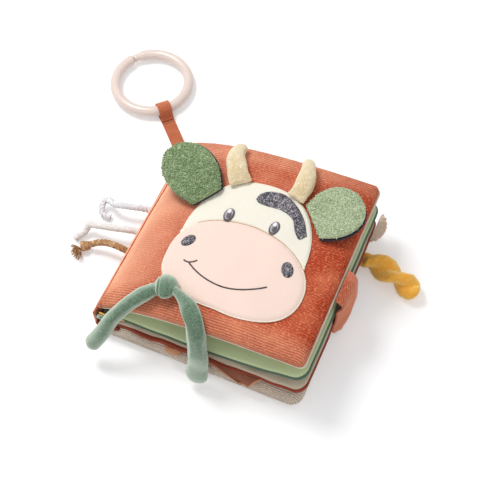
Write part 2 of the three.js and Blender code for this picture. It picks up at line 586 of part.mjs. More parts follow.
function buildEar({ name, size, root, tip, baseShare }) {
  const [first, second] = root;
  const middle = first.clone().add(second).multiplyScalar(0.5);
  const across = second.clone().sub(first).normalize();
  const along = tip.clone().sub(middle);
  along.addScaledVector(across, -along.dot(across)).normalize();
  const up = across.clone().cross(along).normalize();
  if (up.z < 0) up.negate();
  const right = along.clone().cross(up);
  const frame = new THREE.Matrix4().makeBasis(right, along, up).setPosition(middle);
  const body = hingedBody(name, frontCover, middle, along.clone().cross(up).negate());
  const backLayer = earLayer(size, baseShare, 0, 0, ear.backThickness).applyMatrix4(frame);
  const frontLayer = earLayer(size, baseShare, ear.frontInset, ear.backThickness + gap, ear.frontThickness);
  addPiece(body, `${name}_back`, backLayer, colours.charcoal);
  addPiece(body, `${name}_front`, frontLayer.applyMatrix4(frame), colours.teddy);
}

const onFace = ([along, up], extra = 0) => coverPlace(faceS(along), faceY(up),
  looseFloor(faceS(along), faceY(up)) + extra);
buildEar({ name: 'left_ear', size: leftEar, baseShare: earShares.leftBase,
  root: faceShares.leftEar.root.map((place) => onFace(place, -leftEar.settle)),
  tip: onFace(faceShares.leftEar.tip, leftEar.rise) });
buildEar({ name: 'right_ear', size: rightEar, baseShare: earShares.rightBase,
  root: faceShares.rightEar.root.map((place) => onFace(place, -rightEar.settle)),
  tip: onFace(faceShares.rightEar.tip, rightEar.rise) });

function buildHorn({ name, size, places }) {
  const rest = horn.halfThickness + gap - size.settle;
  const points = places.map(([along, up, rise]) => onFace([along, up], rest + rise * horn.halfThickness));
  const curve = new THREE.CatmullRomCurve3(points, false, 'centripetal');
  const direction = points[1].clone().sub(points[0]).normalize();
  const axis = direction.clone().cross(new THREE.Vector3(0, 0, -1));
  const body = hingedBody(name, frontCover, points[0], axis);
  const width = (share) => mix(mix(size.baseWidth, size.middleWidth, smooth(2 * share)), size.tipWidth,
    smooth(2 * share - 1));
  addPiece(body, name, limb(curve, { halfWidth: (share) => width(share) / 2,
    halfThickness: (share) => horn.halfThickness * mix(1, hornShares.tip, share),
    reference: new THREE.Vector3(0, 0, 1), endRound: horn.tipRadius + size.tipWidth / 4,
    steps: cuts.horn }), colours.horn);
}
buildHorn({ name: 'left_horn', size: leftHorn, places: hornShares.left });
buildHorn({ name: 'right_horn', size: rightHorn, places: hornShares.right });

// The two leaves
function buildLeaf({ number, size, upperColour, lowerColour }) {
  const { rollRadius, lowerRim, lowerThickness, rimWidth, crownWidth, hingeRise } = leaf;
  const hingeX = spineX + leaf.spineSetback;
  const startX = hingeX - rollRadius;
  const endX = foreX + size.foreStep;
  const liftStart = spineX + leafLiftShare * book.width;
  const level = (x) => mix(size.hingeHeight - rollRadius, size.flatHeight,
    smooth((x - startX) / leaf.riseWidth));
  const height = (x) => level(x)
    + size.lift * (Math.max(0, x - liftStart) / (foreX - liftStart)) ** liftPowerShare;
  const bend = new Bend(height, startX, endX, bendStep);
  const place = (s, y, h) => bend.place(s, y, h);
  const pivot = place(rollRadius, 0, rollRadius);
  const body = hingedBody(`leaf_${number}`, bookGroup, pivot, openAxis);
  const box = { x0: 0, x1: bend.length, y0: coverFront - size.frontStep, y1: coverTop - size.topStep };
  const crown = (distance, s) => leaf.crown * dome(distance, crownWidth) * smooth((s - leafSeam) / hingeRise);
  const skin = (distance, s) => leafSeam + crown(distance, s);
  const rim = (distance) => smooth((distance - rimWidth) / rimWidth);
  const lowerTop = (distance) => mix(lowerRim, lowerThickness, rim(distance));
  const upperBottom = (distance, s) => mix(lowerRim + gap, skin(distance, s) - lowerThickness, rim(distance));
  const roll = roundShares.map((share) => share * rollRadius);
  const shares = coarseCrownShares;
  const lead = [...roll, leafSeam + hingeRise * leafRiseShare];
  const xs = crownStations(0, box.x1, crownWidth, cuts.leafAlong, { lead, shares });
  const ys = crownStations(box.y0, box.y1, crownWidth, cuts.leafAcross, { shares });
  const base = { radius: book.cornerRadius, hingeRadius: rollRadius, hingeRim: 0, place };
  addPiece(body, `leaf_${number}_lower`, panel({ ...base, box, xs,
    ys: [box.y0, box.y0 + rimWidth, box.y0 + book.cornerRadius, box.y1 - book.cornerRadius,
      box.y1 - rimWidth, box.y1],
    top: (distance, s) => (s < leafSeam + thinEdge / 2 ? rollRadius + rollHalf(rollRadius, s)
      : lowerTop(distance)),
    bottom: (distance, s) => (s < rollRadius ? rollRadius - rollHalf(rollRadius, s) : 0),
  }), lowerColour);

  const { lowerShow, upperSetback } = leaf;
  const upperBox = { x0: roll[roll.length - 1] + upperSetback, x1: box.x1 - lowerShow, y0: box.y0 + lowerShow,
    y1: box.y1 - lowerShow };
  const leadXs = crownStations(0, upperBox.x1, crownWidth, cuts.leafAlong, { lead, shares });
  const upperXs = inside(leadXs.slice(roll.length + 1), upperBox.x0, upperBox.x1);
  const upperYs = crownStations(upperBox.y0, upperBox.y1, crownWidth, cuts.leafAcross, { shares });
  addPiece(body, `leaf_${number}_upper`, panel({ ...base, box: upperBox, xs: upperXs, ys: upperYs,
    top: skin, bottom: upperBottom }), upperColour);

  const inset = leaf.waddingInset;
  const padBox = { x0: hingeRise, x1: upperBox.x1 - inset, y0: upperBox.y0 + inset, y1: upperBox.y1 - inset };
  const padFloor = lowerRim + gap;
  const padCeiling = (distance, s) => upperBottom(distance + inset, s) - gap;
  const padHeight = (distance, s) => Math.max(padFloor + thinEdge, padCeiling(distance, s));
  addPiece(body, `leaf_${number}_wadding`, panel({ ...base, box: padBox, radius: rimWidth,
    xs: inside(upperXs, padBox.x0, padBox.x1), ys: inside(upperYs, padBox.y0, padBox.y1),
    top: padHeight, bottom: () => padFloor }), colours.wadding);

  const foilInset = leaf.foilInset;
  const foilBox = { x0: hingeRise + rollRadius, x1: box.x1 - foilInset, y0: box.y0 + foilInset,
    y1: box.y1 - foilInset };
  const foilFloor = lowerThickness + gap;
  addPiece(body, `leaf_${number}_foil`, panel({ ...base, box: foilBox, radius: rollRadius,
    xs: inside(xs, foilBox.x0, foilBox.x1),
    ys: [foilBox.y0, foilBox.y0 + rollRadius, foilBox.y1 - rollRadius, foilBox.y1],
    top: () => foilFloor + foilThickness, bottom: () => foilFloor }), colours.foil, foilRoughness);
  return { body, box, place };
}
buildLeaf({ number: 1, size: leafOne, upperColour: colours.paleGreen, lowerColour: colours.darkSage });
const pageTwo = buildLeaf({ number: 2, size: leafTwo, upperColour: colours.beige, lowerColour: colours.red });

// The back cover, which lies on the floor
const backBox = { x0: spineX + back.spineSetback, x1: foreX + back.foreStep, y0: coverFront - back.frontStep,
  y1: coverTop };

function buildBackCover() {
  const { seamHeight, seamAllowance, crownWidth, rimWidth, waddingInset } = back;
  const flatPlace = (x, y, z) => new THREE.Vector3(x, y, z);
  const half = gap / 2;
  const outerFloor = (distance) => (seamHeight - seamAllowance) * (1 - dome(distance, crownWidth));
  const rim = (distance) => smooth((distance - rimWidth) / rimWidth);
  const clothInner = (distance) => mix(seamHeight - half, outerFloor(distance) + clothThickness,
    rim(distance));
  const spineRiseLead = back.spineRiseStart - back.spineSetback;
  const spineRise = back.spineRiseEnd - back.spineRiseStart;
  const spineFade = (x) => smooth((x - backBox.x0 - spineRiseLead) / spineRise);
  const skin = (distance, x) => seamHeight + half + back.liningThickness
    + (back.thickness - seamHeight - half - back.liningThickness) * dome(distance, crownWidth) * spineFade(x);
  const liningInner = (distance, x) => mix(seamHeight + half, skin(distance, x) - back.liningThickness,
    rim(distance));
  const shares = backCrownShares;
  const lead = [0, spineRiseLead];
  const xs = crownStations(backBox.x0, backBox.x1, crownWidth, cuts.backAlong, { lead, shares });
  const ys = crownStations(backBox.y0, backBox.y1, crownWidth, cuts.backAcross, { shares });
  const { cornerRadius } = book;
  const base = { radius: cornerRadius, hingeRadius: cornerRadius, hingeRim: 0, place: flatPlace };
  addPiece(bookGroup, 'back_cover_cloth', panel({ ...base, box: backBox, xs, ys,
    top: clothInner, bottom: outerFloor }), colours.beige);
  addPiece(bookGroup, 'back_cover_lining', panel({ ...base, box: backBox, xs, ys,
    top: skin, bottom: liningInner }), colours.beige);
  const padBox = { x0: backBox.x0 + waddingInset, x1: backBox.x1 - waddingInset,
    y0: backBox.y0 + waddingInset, y1: backBox.y1 - waddingInset };
  addPiece(bookGroup, 'back_cover_wadding', panel({ ...base, box: padBox,
    radius: rimWidth, hingeRadius: rimWidth, xs: inside(xs, padBox.x0, padBox.x1),
    ys: inside(ys, padBox.y0, padBox.y1),
    top: (distance, x) => liningInner(distance + waddingInset, x) - gap,
    bottom: (distance) => clothInner(distance + waddingInset) + gap }), colours.wadding);
}
buildBackCover();

// The corduroy that wraps the bound edge: a wall with a rounded top and a foot tucked under the back
function buildSpineWrap() {
  const inner = spineX + spine.wall;
  const shape = new THREE.Shape();
  shape.moveTo(spineX, spine.foot);
  shape.quadraticCurveTo(spineX, 0, spineX + spine.foot, 0);
  shape.lineTo(spineX + spine.foot, spine.footHeight);
  shape.quadraticCurveTo(inner, spine.footHeight, inner, spine.foot);
  shape.lineTo(inner, spine.top - spine.wall / 2);
  shape.absarc(spineX + spine.wall / 2, spine.top - spine.wall / 2, spine.wall / 2, 0, Math.PI, false);
  const front = coverFront - leafTwo.frontStep;
  const top = coverTop - spine.topInset;
  const geometry = new THREE.ExtrudeGeometry(shape, { ...plain, depth: top - front });
  geometry.rotateX(Math.PI / 2).translate(0, top, 0);
  addPiece(bookGroup, 'spine_wrap', weld(geometry), colours.terracotta);
}
buildSpineWrap();

// The strap that closes the book, on the cover's fore-edge
function buildStrap() {
  const { along, across, shoulder, heights } = strapShares;
  const root = coverPlace(coverBox.x1, 0, cover.rollRadius);
  const quarter = strap.thickness / 4;
  const startX = root.x + gap + quarter;
  const middleY = faceY(faceShares.strap);
  const [high, middle, low] = heights.map((share) => share * book.foreEdgeHeight);
  const shoulderPoint = [foreX + shoulder[0] * strap.bulge, root.z - shoulder[1] * book.foreEdgeHeight];
  const centre = [[startX, root.z], shoulderPoint, [foreX + strap.bulge, high],
    [foreX + strap.bulge, middle], [foreX + strap.tipOut + quarter, low],
    [foreX + strap.tipOut, strap.tipHeight]];
  const curve = new THREE.SplineCurve(centre.map(([x, z]) => new THREE.Vector2(x, z)));
  const body = hingedBody('closure_strap', frontCover, new THREE.Vector3(startX, middleY, root.z), openAxis);
  const tipFade = (share) => Math.max(0, (share - strapShares.tip) / (1 - strapShares.tip));
  const layer = (side) => along.map((share) => {
    const point = curve.getPointAt(share);
    const tangent = curve.getTangentAt(share);
    const outward = new THREE.Vector2(-tangent.y, tangent.x);
    const half = (mix(strap.width, strap.tipWidth, smooth(share)) / 2)
      * mix(1, strapShares.tipWidth, tipFade(share) ** 2);
    const y = middleY - strap.drift * share;
    return across.map((place) => {
      const thickness = mix(quarter, 2 * quarter, Math.min(1, 2 * (1 - place ** 2)));
      const offset = side > 0 ? thickness * mix(1, strapShares.tipThickness, tipFade(share)) : -quarter;
      return new THREE.Vector3(point.x + outward.x * offset, y + half * place, point.y + outward.y * offset);
    });
  });
  addPiece(body, 'closure_strap', slab(layer(1), layer(-1)), colours.terracotta);

  const place = curve.getPointAt(strapShares.patch);
  const slope = curve.getTangentAt(strapShares.patch);
  const turn = Math.atan2(slope.x, -slope.y);
  const patchY = middleY - strap.drift * strapShares.patch;
  const patchBox = () => new THREE.BoxGeometry(strap.patchThickness, strap.patchWidth, strap.patchLength);
  const offset = quarter + gap + strap.patchThickness / 2;
  const hook = patchBox().rotateY(-turn);
  hook.translate(place.x - offset * Math.cos(turn), patchY, place.y - offset * Math.sin(turn));
  addPiece(body, 'strap_hook_patch', weld(hook), colours.cream);
  const loop = patchBox().translate(backBox.x1 + gap + strap.patchThickness / 2, patchY, back.seamHeight);
  addPiece(bookGroup, 'strap_loop_patch', weld(loop), colours.cream);
}
buildStrap();

// Small trims of the second leaf
function buildTrims() {
  const { body, box, place } = pageTwo;
  const tagStart = place(tagShares.loop * box.x1, box.y0 - gap, leafSeam / 2);
  const profile = new THREE.Shape();
  const loopEnd = tagLoop.thickness / 2 - tagLoop.depth;
  profile.moveTo(0, -tagLoop.thickness / 2);
  profile.lineTo(loopEnd, -tagLoop.thickness / 2);
  profile.absarc(loopEnd, 0, tagLoop.thickness / 2, -Math.PI / 2, Math.PI / 2, true);
  profile.lineTo(0, tagLoop.thickness / 2);
  const alongX = new THREE.Vector3(1, 0, 0);
  const alongY = new THREE.Vector3(0, 1, 0);
  const alongZ = new THREE.Vector3(0, 0, 1);
  const loop = new THREE.ExtrudeGeometry(profile, { ...plain, depth: tagLoop.width });
  loop.applyMatrix4(new THREE.Matrix4().makeBasis(alongY, alongZ, alongX)).translate(...tagStart);
  addPiece(body, 'page_tag_loop', weld(loop), colours.tan);

  const foldStart = tagShares.fold * box.x1;
  const fold = (side) => tagShares.along.map((share) => {
    const width = mix(tagFold.topWidth, tagFold.tipWidth, share);
    const slant = tagShares.slant * (tagFold.topWidth - width);
    const out = gap + tagFold.overhang * Math.sin((share * Math.PI) / 2);
    const rise = leafSeam / 2 - tagFold.drop * share ** 2;
    const lift = (side * tagFold.thickness) / 2;
    const lean = (Math.PI * share) / 2;
    return tagShares.across.map((column) => place(foldStart + slant + width * column,
      box.y0 - out - lift * Math.sin(lean) * tagShares.lean,
      rise + lift * Math.max(tagShares.tipLean, Math.cos(lean))));
  });
  addPiece(body, 'page_tag_fold', slab(fold(1), fold(-1)), colours.tan);

  const ruffleStart = faceY(faceShares.ruffle);
  const trim = (side) => even(cuts.ruffle, 0, 1).map((row) => ruffleShares.across.map((depth) => {
    const wave = ruffle.wave * depth * Math.sin(row * ruffleWaveShare * fullTurn);
    const reach = ruffle.depth * depth * mix(ruffleShares.ends, 1, Math.sin(row * Math.PI));
    const point = place(box.x1, ruffleStart + ruffle.length * row, leafSeam / 2);
    return new THREE.Vector3(point.x + gap + reach, point.y, point.z + wave + (side * ruffle.thickness) / 2);
  }));
  addPiece(body, 'peach_ruffle', slab(trim(1), trim(-1)), colours.peach);
}
buildTrims();

// The twisted tail
function buildTail() {
  const rootX = backBox.x1 + gap;
  const points = tailShares.route.map(([out, along, height]) => new THREE.Vector3(rootX + out * book.width,
    faceY(along), height * tail.restHeight));
  const curve = new THREE.CatmullRomCurve3(points, false, 'centripetal');
  const pivot = points[0].clone().add(new THREE.Vector3(tail.neckThickness / 2, 0, tail.neckThickness / 2));
  const body = hingedBody('yellow_tail', bookGroup, pivot, openAxis);
  const swell = (share) => smooth(share / tailShares.swell);
  addPiece(body, 'yellow_tail', limb(curve, {
    halfWidth: (share) => mix(tail.neckWidth, tail.width, swell(share)) / 2,
    halfThickness: (share) => mix(tail.neckThickness, tail.thickness, swell(share)) / 2,
    turn: (share) => tailTurnShare * fullTurn * share, reference: new THREE.Vector3(0, 0, 1),
    endRound: tail.width / 2, steps: cuts.tail }), colours.yellow);
}
buildTail();

// The ribbon, its loop and the ring
function buildRibbonAndRing() {
  const out = new THREE.Vector3(...ribbonShares.out, 0).normalize();
  const side = new THREE.Vector3(0, 0, 1).cross(out).negate();
  const corner = new THREE.Vector3(backBox.x0 + book.cornerRadius, backBox.y1 - book.cornerRadius, 0);
  const start = corner.clone().addScaledVector(out, book.cornerRadius + gap)
    .addScaledVector(side, -ribbon.rootOffset);
  const band = (from, stations, width, height) => {
    const layer = (face) => stations.map((station) => ribbonShares.across.map((across) => from.clone()
      .addScaledVector(out, station)
      .addScaledVector(side, (across * width(station)) / 2)
      .setZ(height(station) + (face * ribbon.thickness) / 2)));
    return slab(layer(1), layer(-1));
  };
  const rootWidthAt = (station) => mix(ribbon.rootWidth, ribbon.width,
    smooth(station / (ribbonShares.rootSwell * ribbon.rootLength)));
  const rootHeightAt = (station) => mix(ribbon.rootHeight, ribbon.hingeHeight,
    smooth(station / ribbon.rootLength));
  const rootStations = even(cuts.ribbonRoot, 0, ribbon.rootLength);
  addPiece(bookGroup, 'ribbon_root', band(start, rootStations, rootWidthAt, rootHeightAt),
    colours.terracotta);

  const hinge = start.clone().addScaledVector(out, ribbon.rootLength + gap).setZ(ribbon.hingeHeight);
  const hanging = hingedBody('hang_ribbon', bookGroup, hinge, side.clone().negate());
  addPiece(hanging, 'hang_ribbon', band(hinge, even(cuts.ribbon, 0, ribbon.length), () => ribbon.width,
    () => ribbon.hingeHeight), colours.terracotta);

  const stitch = hinge.clone().addScaledVector(out, ribbon.length + 2 * gap);
  const tube = ring.tubeRadius + ribbon.clearance;
  const ringHeight = tube + ribbon.thickness;
  const loopBody = hingedBody('ribbon_loop', hanging, stitch, side);
  const { shoulder, holeStart, holeShoulder, holeEnd } = ribbonShares;
  const loopLength = ribbonShares.loop * tube;
  const outerTop = ringHeight + tube + ribbon.thickness;
  const shape = new THREE.Shape();
  shape.moveTo(0, ribbon.hingeHeight - ribbon.thickness);
  shape.lineTo(0, ribbon.hingeHeight + ribbon.thickness);
  shape.quadraticCurveTo(shoulder * loopLength, outerTop - ribbon.thickness, loopLength, outerTop);
  shape.absarc(loopLength, ringHeight, tube + ribbon.thickness, Math.PI / 2, -Math.PI / 2, true);
  shape.quadraticCurveTo(shoulder * loopLength, 0, 0, ribbon.hingeHeight - ribbon.thickness);
  const hole = new THREE.Path();
  hole.moveTo(holeStart * loopLength, ringHeight - holeEnd * tube);
  hole.quadraticCurveTo(holeShoulder * loopLength, ringHeight - tube, loopLength, ringHeight - tube);
  hole.absarc(loopLength, ringHeight, tube, -Math.PI / 2, Math.PI / 2, false);
  hole.quadraticCurveTo(holeShoulder * loopLength, ringHeight + tube,
    holeStart * loopLength, ringHeight + holeEnd * tube);
  hole.closePath();
  shape.holes.push(hole);
  const loop = new THREE.ExtrudeGeometry(shape, { ...plain, depth: ribbon.width });
  const upright = new THREE.Matrix4().makeBasis(out, new THREE.Vector3(0, 0, 1), side);
  loop.translate(0, 0, -ribbon.width / 2).applyMatrix4(upright).translate(stitch.x, stitch.y, 0);
  addPiece(loopBody, 'ribbon_loop', weld(loop), colours.terracotta);

  const centre = stitch.clone().addScaledVector(out, loopLength + ring.radius).setZ(ringHeight);
  const ringBody = hingedBody('hang_ring', loopBody, centre, new THREE.Vector3(0, 0, 1));
  const notchAngle = THREE.MathUtils.degToRad(ringNotchDegrees);
  const notchHalf = ring.notch / ring.radius / 2;
  const lastAngle = notchAngle + fullTurn - notchHalf;
  const pin = ring.pinLength / ring.radius;
  const step = (ring.tubeRadius - ring.endRadius) / ring.radius;
  const thick = even(cuts.ring, notchAngle + notchHalf, lastAngle - pin - step);
  const sections = [...thick, lastAngle - pin, lastAngle].map((angle, index) => {
    const radius = index <= cuts.ring ? ring.tubeRadius : ring.endRadius;
    const radial = new THREE.Vector3(Math.cos(angle), Math.sin(angle), 0);
    return { centre: centre.clone().addScaledVector(radial, ring.radius),
      across: radial.clone().multiplyScalar(radius), up: new THREE.Vector3(0, 0, radius) };
  });
  addPiece(ringBody, 'hang_ring', loft(sections, sides.ring), colours.ring, plasticRoughness);
}
buildRibbonAndRing();

// The three cords that leave the spine. Their points are chosen by hand, in real sizes.
const cordStart = spineX - gap;
const cordRoutes = {
  cord_white: [[0, 16.2, 11], [-4, 16, 11.2], [-9.7, 14, 13], [-16.3, 12.3, 13.2], [-23, 11.1, 12.7],
    [-28.6, 10.9, 10.8], [-32.8, 12.7, 9.4], [-35.9, 13.9, 8.2], [-38.4, 12.4, 7],
    [-38.6, 8.6, 5.6], [-36.9, 5, 4.2],
    [-33.9, 3.4, 3], [-29.6, 3.8, 2.4]],
  cord_cream: [[0, -3.8, 11], [-4.5, -4.1, 11.3], [-11.7, -6.6, 13], [-19.5, -8.6, 13], [-27.1, -9.6, 12],
    [-34, -10.4, 10.5], [-38.6, -10.6, 8.8], [-39.6, -12.8, 6.2], [-40.6, -15.4, 4.4],
    [-43.8, -18.9, 3], [-44.9, -22.2, 2.4]],
  cord_brown: [[0, -20.8, 11], [-4.5, -20.8, 11.2], [-12.7, -20.6, 12], [-20, -20.8, 11], [-25.6, -21.8, 9],
    [-30.9, -23.95, 6.45]],
};
const brownKnot = { out: 34.6, y: -25.8, z: 4.6, radius: 4.3 };
const knotCuts = { across: 10, along: 7 };

function buildCords() {
  const cordColours = { cord_white: colours.white, cord_cream: colours.offWhite, cord_brown: colours.brown };
  const section = new THREE.Shape();
  section.absarc(0, 0, cord.radius, 0, fullTurn, false);
  for (const [name, route] of Object.entries(cordRoutes)) {
    const points = route.map(([x, y, z]) => new THREE.Vector3(cordStart + x, y, z));
    const path = new THREE.CatmullRomCurve3(points, false, 'centripetal');
    const steps = Math.round(path.getLength() / (cord.radius * 2));
    const geometry = new THREE.ExtrudeGeometry(section, { ...plain, steps, extrudePath: path });
    addPiece(bookGroup, name, weld(geometry), cordColours[name]);
  }
  const knotPoint = new THREE.Vector3(cordStart - brownKnot.out, brownKnot.y, brownKnot.z);
  const ball = new THREE.SphereGeometry(brownKnot.radius, knotCuts.across, knotCuts.along);
  ball.translate(...knotPoint);
  addPiece(bookGroup, 'knot_brown', weld(ball), colours.brown);

  const heading = new THREE.Vector3(...tuftShares.heading, 0).normalize();
  const tuftStart = knotPoint.clone().addScaledVector(heading, brownKnot.radius + gap);
  const across = heading.clone().cross(new THREE.Vector3(0, 0, 1));
  const sections = tuftShares.profile.map(([along, share]) => ({
    centre: tuftStart.clone().addScaledVector(heading, along * tuft.length),
    across: across.clone().multiplyScalar((tuft.spread + tuft.strandRadius) * share),
    up: new THREE.Vector3(0, 0, (tuft.spread + tuft.strandRadius) * share) }));
  addPiece(bookGroup, 'tuft_brown', loft(sections, sides.tuft), colours.brown);
}
buildCords();

export default bookGroup;
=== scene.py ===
"""The looks of a crinkle cloth book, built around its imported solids.

Lengths are in millimetres until a mesh is made. Along the cover and the leaves, s runs from the bound
edge, y towards the top edge of the face, and h stands off the cloth.
"""

from __future__ import annotations

import logging
import math
from collections.abc import Callable, Sequence
from dataclasses import dataclass, field
from enum import Enum
from functools import cache

import bpy
import numpy as np
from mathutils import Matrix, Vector


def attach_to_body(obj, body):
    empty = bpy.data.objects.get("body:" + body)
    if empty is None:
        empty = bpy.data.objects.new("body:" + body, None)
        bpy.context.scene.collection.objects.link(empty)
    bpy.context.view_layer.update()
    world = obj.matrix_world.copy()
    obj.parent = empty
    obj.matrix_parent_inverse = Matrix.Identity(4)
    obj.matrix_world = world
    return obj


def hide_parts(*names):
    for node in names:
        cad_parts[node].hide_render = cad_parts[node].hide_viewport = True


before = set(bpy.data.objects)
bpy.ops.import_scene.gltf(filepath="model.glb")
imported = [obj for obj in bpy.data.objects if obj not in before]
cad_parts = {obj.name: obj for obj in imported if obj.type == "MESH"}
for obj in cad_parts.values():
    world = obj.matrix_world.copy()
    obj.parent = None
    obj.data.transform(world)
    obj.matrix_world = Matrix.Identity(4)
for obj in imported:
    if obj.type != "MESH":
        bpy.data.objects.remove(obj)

LOG = logging.getLogger("cloth_book")
MM = 0.001
FULL = 2 * math.pi
# Half the closed book's width and half its length
SIDE = 75
END = 73
# The clearance between pieces, the one under laid-on cloth, and the thinnest rim
GAP = 0.3
LAID = 0.1
THIN = 0.4
CORNER = 9
CLOTH_SCALE = 20.0
CLOTH_FRAMES = 20
CLOTH_FACE = 0.9
Rgb = tuple[int, int, int]
Pair = tuple[float, float]
Triple = tuple[float, float, float]


def smooth(value: np.ndarray | float) -> np.ndarray | float:
    """Eases a share from 0 to 1."""
    held = np.clip(value, 0, 1)
    return held * held * (3 - 2 * held)


def mix(first: float, second: float, share: np.ndarray | float) -> np.ndarray | float:
    """Goes from first to second by a share."""
    return first + (second - first) * share


def dome(distance: np.ndarray | float, width: float) -> np.ndarray | float:
    """A quarter circle's rise, from 0 at the edge to 1 at width and beyond."""
    return np.sqrt(1 - (1 - np.clip(distance / width, 0, 1)) ** 2)


def bulge(share: np.ndarray | float, power: float) -> np.ndarray | float:
    """A rounded hump over shares from -1 to 1."""
    return np.maximum(0, 1 - np.abs(share) ** power) ** (1 / power)


def hill(value: np.ndarray, centre: float, width: float) -> np.ndarray:
    """A soft bump about a centre."""
    return np.exp(-(((value - centre) / width) ** 2))


def points_of(x: np.ndarray | float, y: np.ndarray | float, z: np.ndarray | float = 0.0) -> np.ndarray:
    """Places from their coordinates."""
    return np.stack(np.broadcast_arrays(x, y, z), axis=-1)


def unit(vectors: np.ndarray) -> np.ndarray:
    """The same directions, each of length 1."""
    return vectors / np.linalg.norm(vectors, axis=-1, keepdims=True)


def circle(count: int) -> np.ndarray:
    """Evenly spaced angles round a full turn."""
    return np.linspace(0, FULL, count, endpoint=False)


def crowded(low: float, high: float, count: int, crowd: float = 0.8) -> np.ndarray:
    """Stations from low to high that crowd together at both ends."""
    share = np.linspace(0, 1, count)
    return low + (high - low) * (share - crowd * np.sin(FULL * share) / FULL)


def ripple(points: np.ndarray, size: float, seed: int) -> np.ndarray:
    """Soft unevenness of a cloth, from about -1 to 1.

    Args:
        points: places, in millimetres.
        size: the usual length of one swell, in millimetres.
        seed: picks the swells.
    Returns:
        one value for each point.
    """
    swells, shortest, longest, highest = 9, 0.65, 1.6, 1.2
    chance = np.random.default_rng(seed)
    total = np.zeros(points.shape[:-1])
    for _ in range(swells):
        heading = unit(chance.normal(size=3))
        length = size * chance.uniform(shortest, longest)
        total += np.sin(points @ heading * FULL / length + chance.uniform(0, FULL))
    return np.clip(total / math.sqrt(swells), -highest, highest)


def runs(line: np.ndarray) -> np.ndarray:
    """How far along a line each of its points lies."""
    return np.concatenate([[0], np.cumsum(np.linalg.norm(np.diff(line, axis=0), axis=1))])


def evenly(line: np.ndarray, count: int) -> np.ndarray:
    """The same line with evenly spaced points.

    Args:
        line: points of shape (n, axes).
        count: how many points to give it.
    Returns:
        the new points.
    """
    run = runs(line)
    at = np.linspace(0, run[-1], count)
    return np.stack([np.interp(at, run, line[:, axis]) for axis in range(line.shape[1])], axis=1)


def centripetal(route: Sequence[Sequence[float]], count: int) -> np.ndarray:
    """A smooth line through the points of a route.

    Args:
        route: the points, in millimetres.
        count: how many points come back, evenly spaced along the line.
    Returns:
        the points of the line.
    """
    fine, least = 24, 1e-4
    knots = np.array(route, float)
    padded = np.vstack([2 * knots[0] - knots[1], knots, 2 * knots[-1] - knots[-2]])
    line: list[np.ndarray] = []
    for index in range(len(knots) - 1):
        four = padded[index : index + 4]
        steps = np.maximum(np.linalg.norm(np.diff(four, axis=0), axis=1) ** 0.5, least)
        times = np.concatenate([[0], np.cumsum(steps)])

        def between(low: int, high: int, first: np.ndarray, second: np.ndarray, now: float) -> np.ndarray:
            """Goes from first to second as the time goes from one knot's to another's."""
            return first + (second - first) * (now - times[low]) / (times[high] - times[low])

        for now in np.linspace(times[1], times[2], fine, endpoint=False):
            a, b, c = (between(at, at + 1, four[at], four[at + 1], now) for at in range(3))
            line.append(between(1, 2, between(0, 2, a, b, now), between(1, 3, b, c, now), now))
    line.append(knots[-1])
    return evenly(np.array(line), count)


def frames(line: np.ndarray, reference: Sequence[float]) -> tuple[np.ndarray, np.ndarray]:
    """Directions square to a line.

    Args:
        line: its points.
        reference: what up stays near to.
    Returns:
        across and up, at each point.
    """
    heading = unit(np.gradient(line, axis=0))
    toward = np.array(reference, float)
    up = unit(toward - heading * (heading @ toward)[:, None])
    return np.cross(heading, up), up


def level_frames(line: np.ndarray) -> tuple[np.ndarray, np.ndarray]:
    """Directions square to a line that never twist about it.

    Args:
        line: its points.
    Returns:
        across and up, at each point.
    """
    heading = unit(np.gradient(line, axis=0))
    sides = [unit(np.cross(heading[0], [0.0, 0.0, 1.0]))]
    for step in heading[1:]:
        sides.append(unit(sides[-1] - step * (sides[-1] @ step)))
    across = np.array(sides)
    return across, np.cross(heading, across)


def rings_about(
    line: np.ndarray, square: tuple, wide: np.ndarray, high: np.ndarray, angle: np.ndarray
) -> np.ndarray:
    """Rings of points about a line.

    Args:
        line: its points.
        square: across and up at each of them.
        wide: how far the rings reach across, for each point and angle.
        high: how far they reach up.
        angle: the angles of a ring's points.
    Returns:
        one ring for each point of the line.
    """
    across, up = square
    sideways = (wide * np.cos(angle))[..., None] * across[:, None]
    return line[:, None] + sideways + (high * np.sin(angle))[..., None] * up[:, None]


class Bend:
    """A line in the XZ plane that carries cloth: s runs along it and h stands off it."""

    def __init__(self, height: Callable[[np.ndarray], np.ndarray], start: float, end: float) -> None:
        """Samples the line.

        Args:
            height: the line's z for an x.
            start: its first x.
            end: its last x.
        """
        samples = 400
        self.x = np.linspace(start, end, samples)
        self.z = height(self.x)
        self.s = np.concatenate([[0], np.cumsum(np.hypot(np.diff(self.x), np.diff(self.z)))])
        self.slope = np.gradient(self.z, self.x)
        self.length = float(self.s[-1])

    def place(self, s: np.ndarray, y: np.ndarray, h: np.ndarray) -> np.ndarray:
        """Puts places on the cloth into the book's own frame.

        Args:
            s: along the line.
            y: across the book.
            h: off the line.
        Returns:
            points with x, y and z.
        """
        normal = self.normal(s)
        x = np.interp(s, self.s, self.x) + normal[..., 0] * h
        return points_of(x, y, np.interp(s, self.s, self.z) + normal[..., 2] * h)

    def normal(self, s: np.ndarray) -> np.ndarray:
        """The direction off the line at s.

        Args:
            s: stations along the line.
        Returns:
            unit vectors of shape (..., 3).
        """
        slope = np.interp(s, self.s, self.slope)
        norm = np.hypot(slope, 1)
        return points_of(-slope / norm, 0.0, 1 / norm)


@dataclass(frozen=True)
class Box:
    """A flat panel's outline before its corners are rounded."""

    x0: float
    x1: float
    y0: float
    y1: float


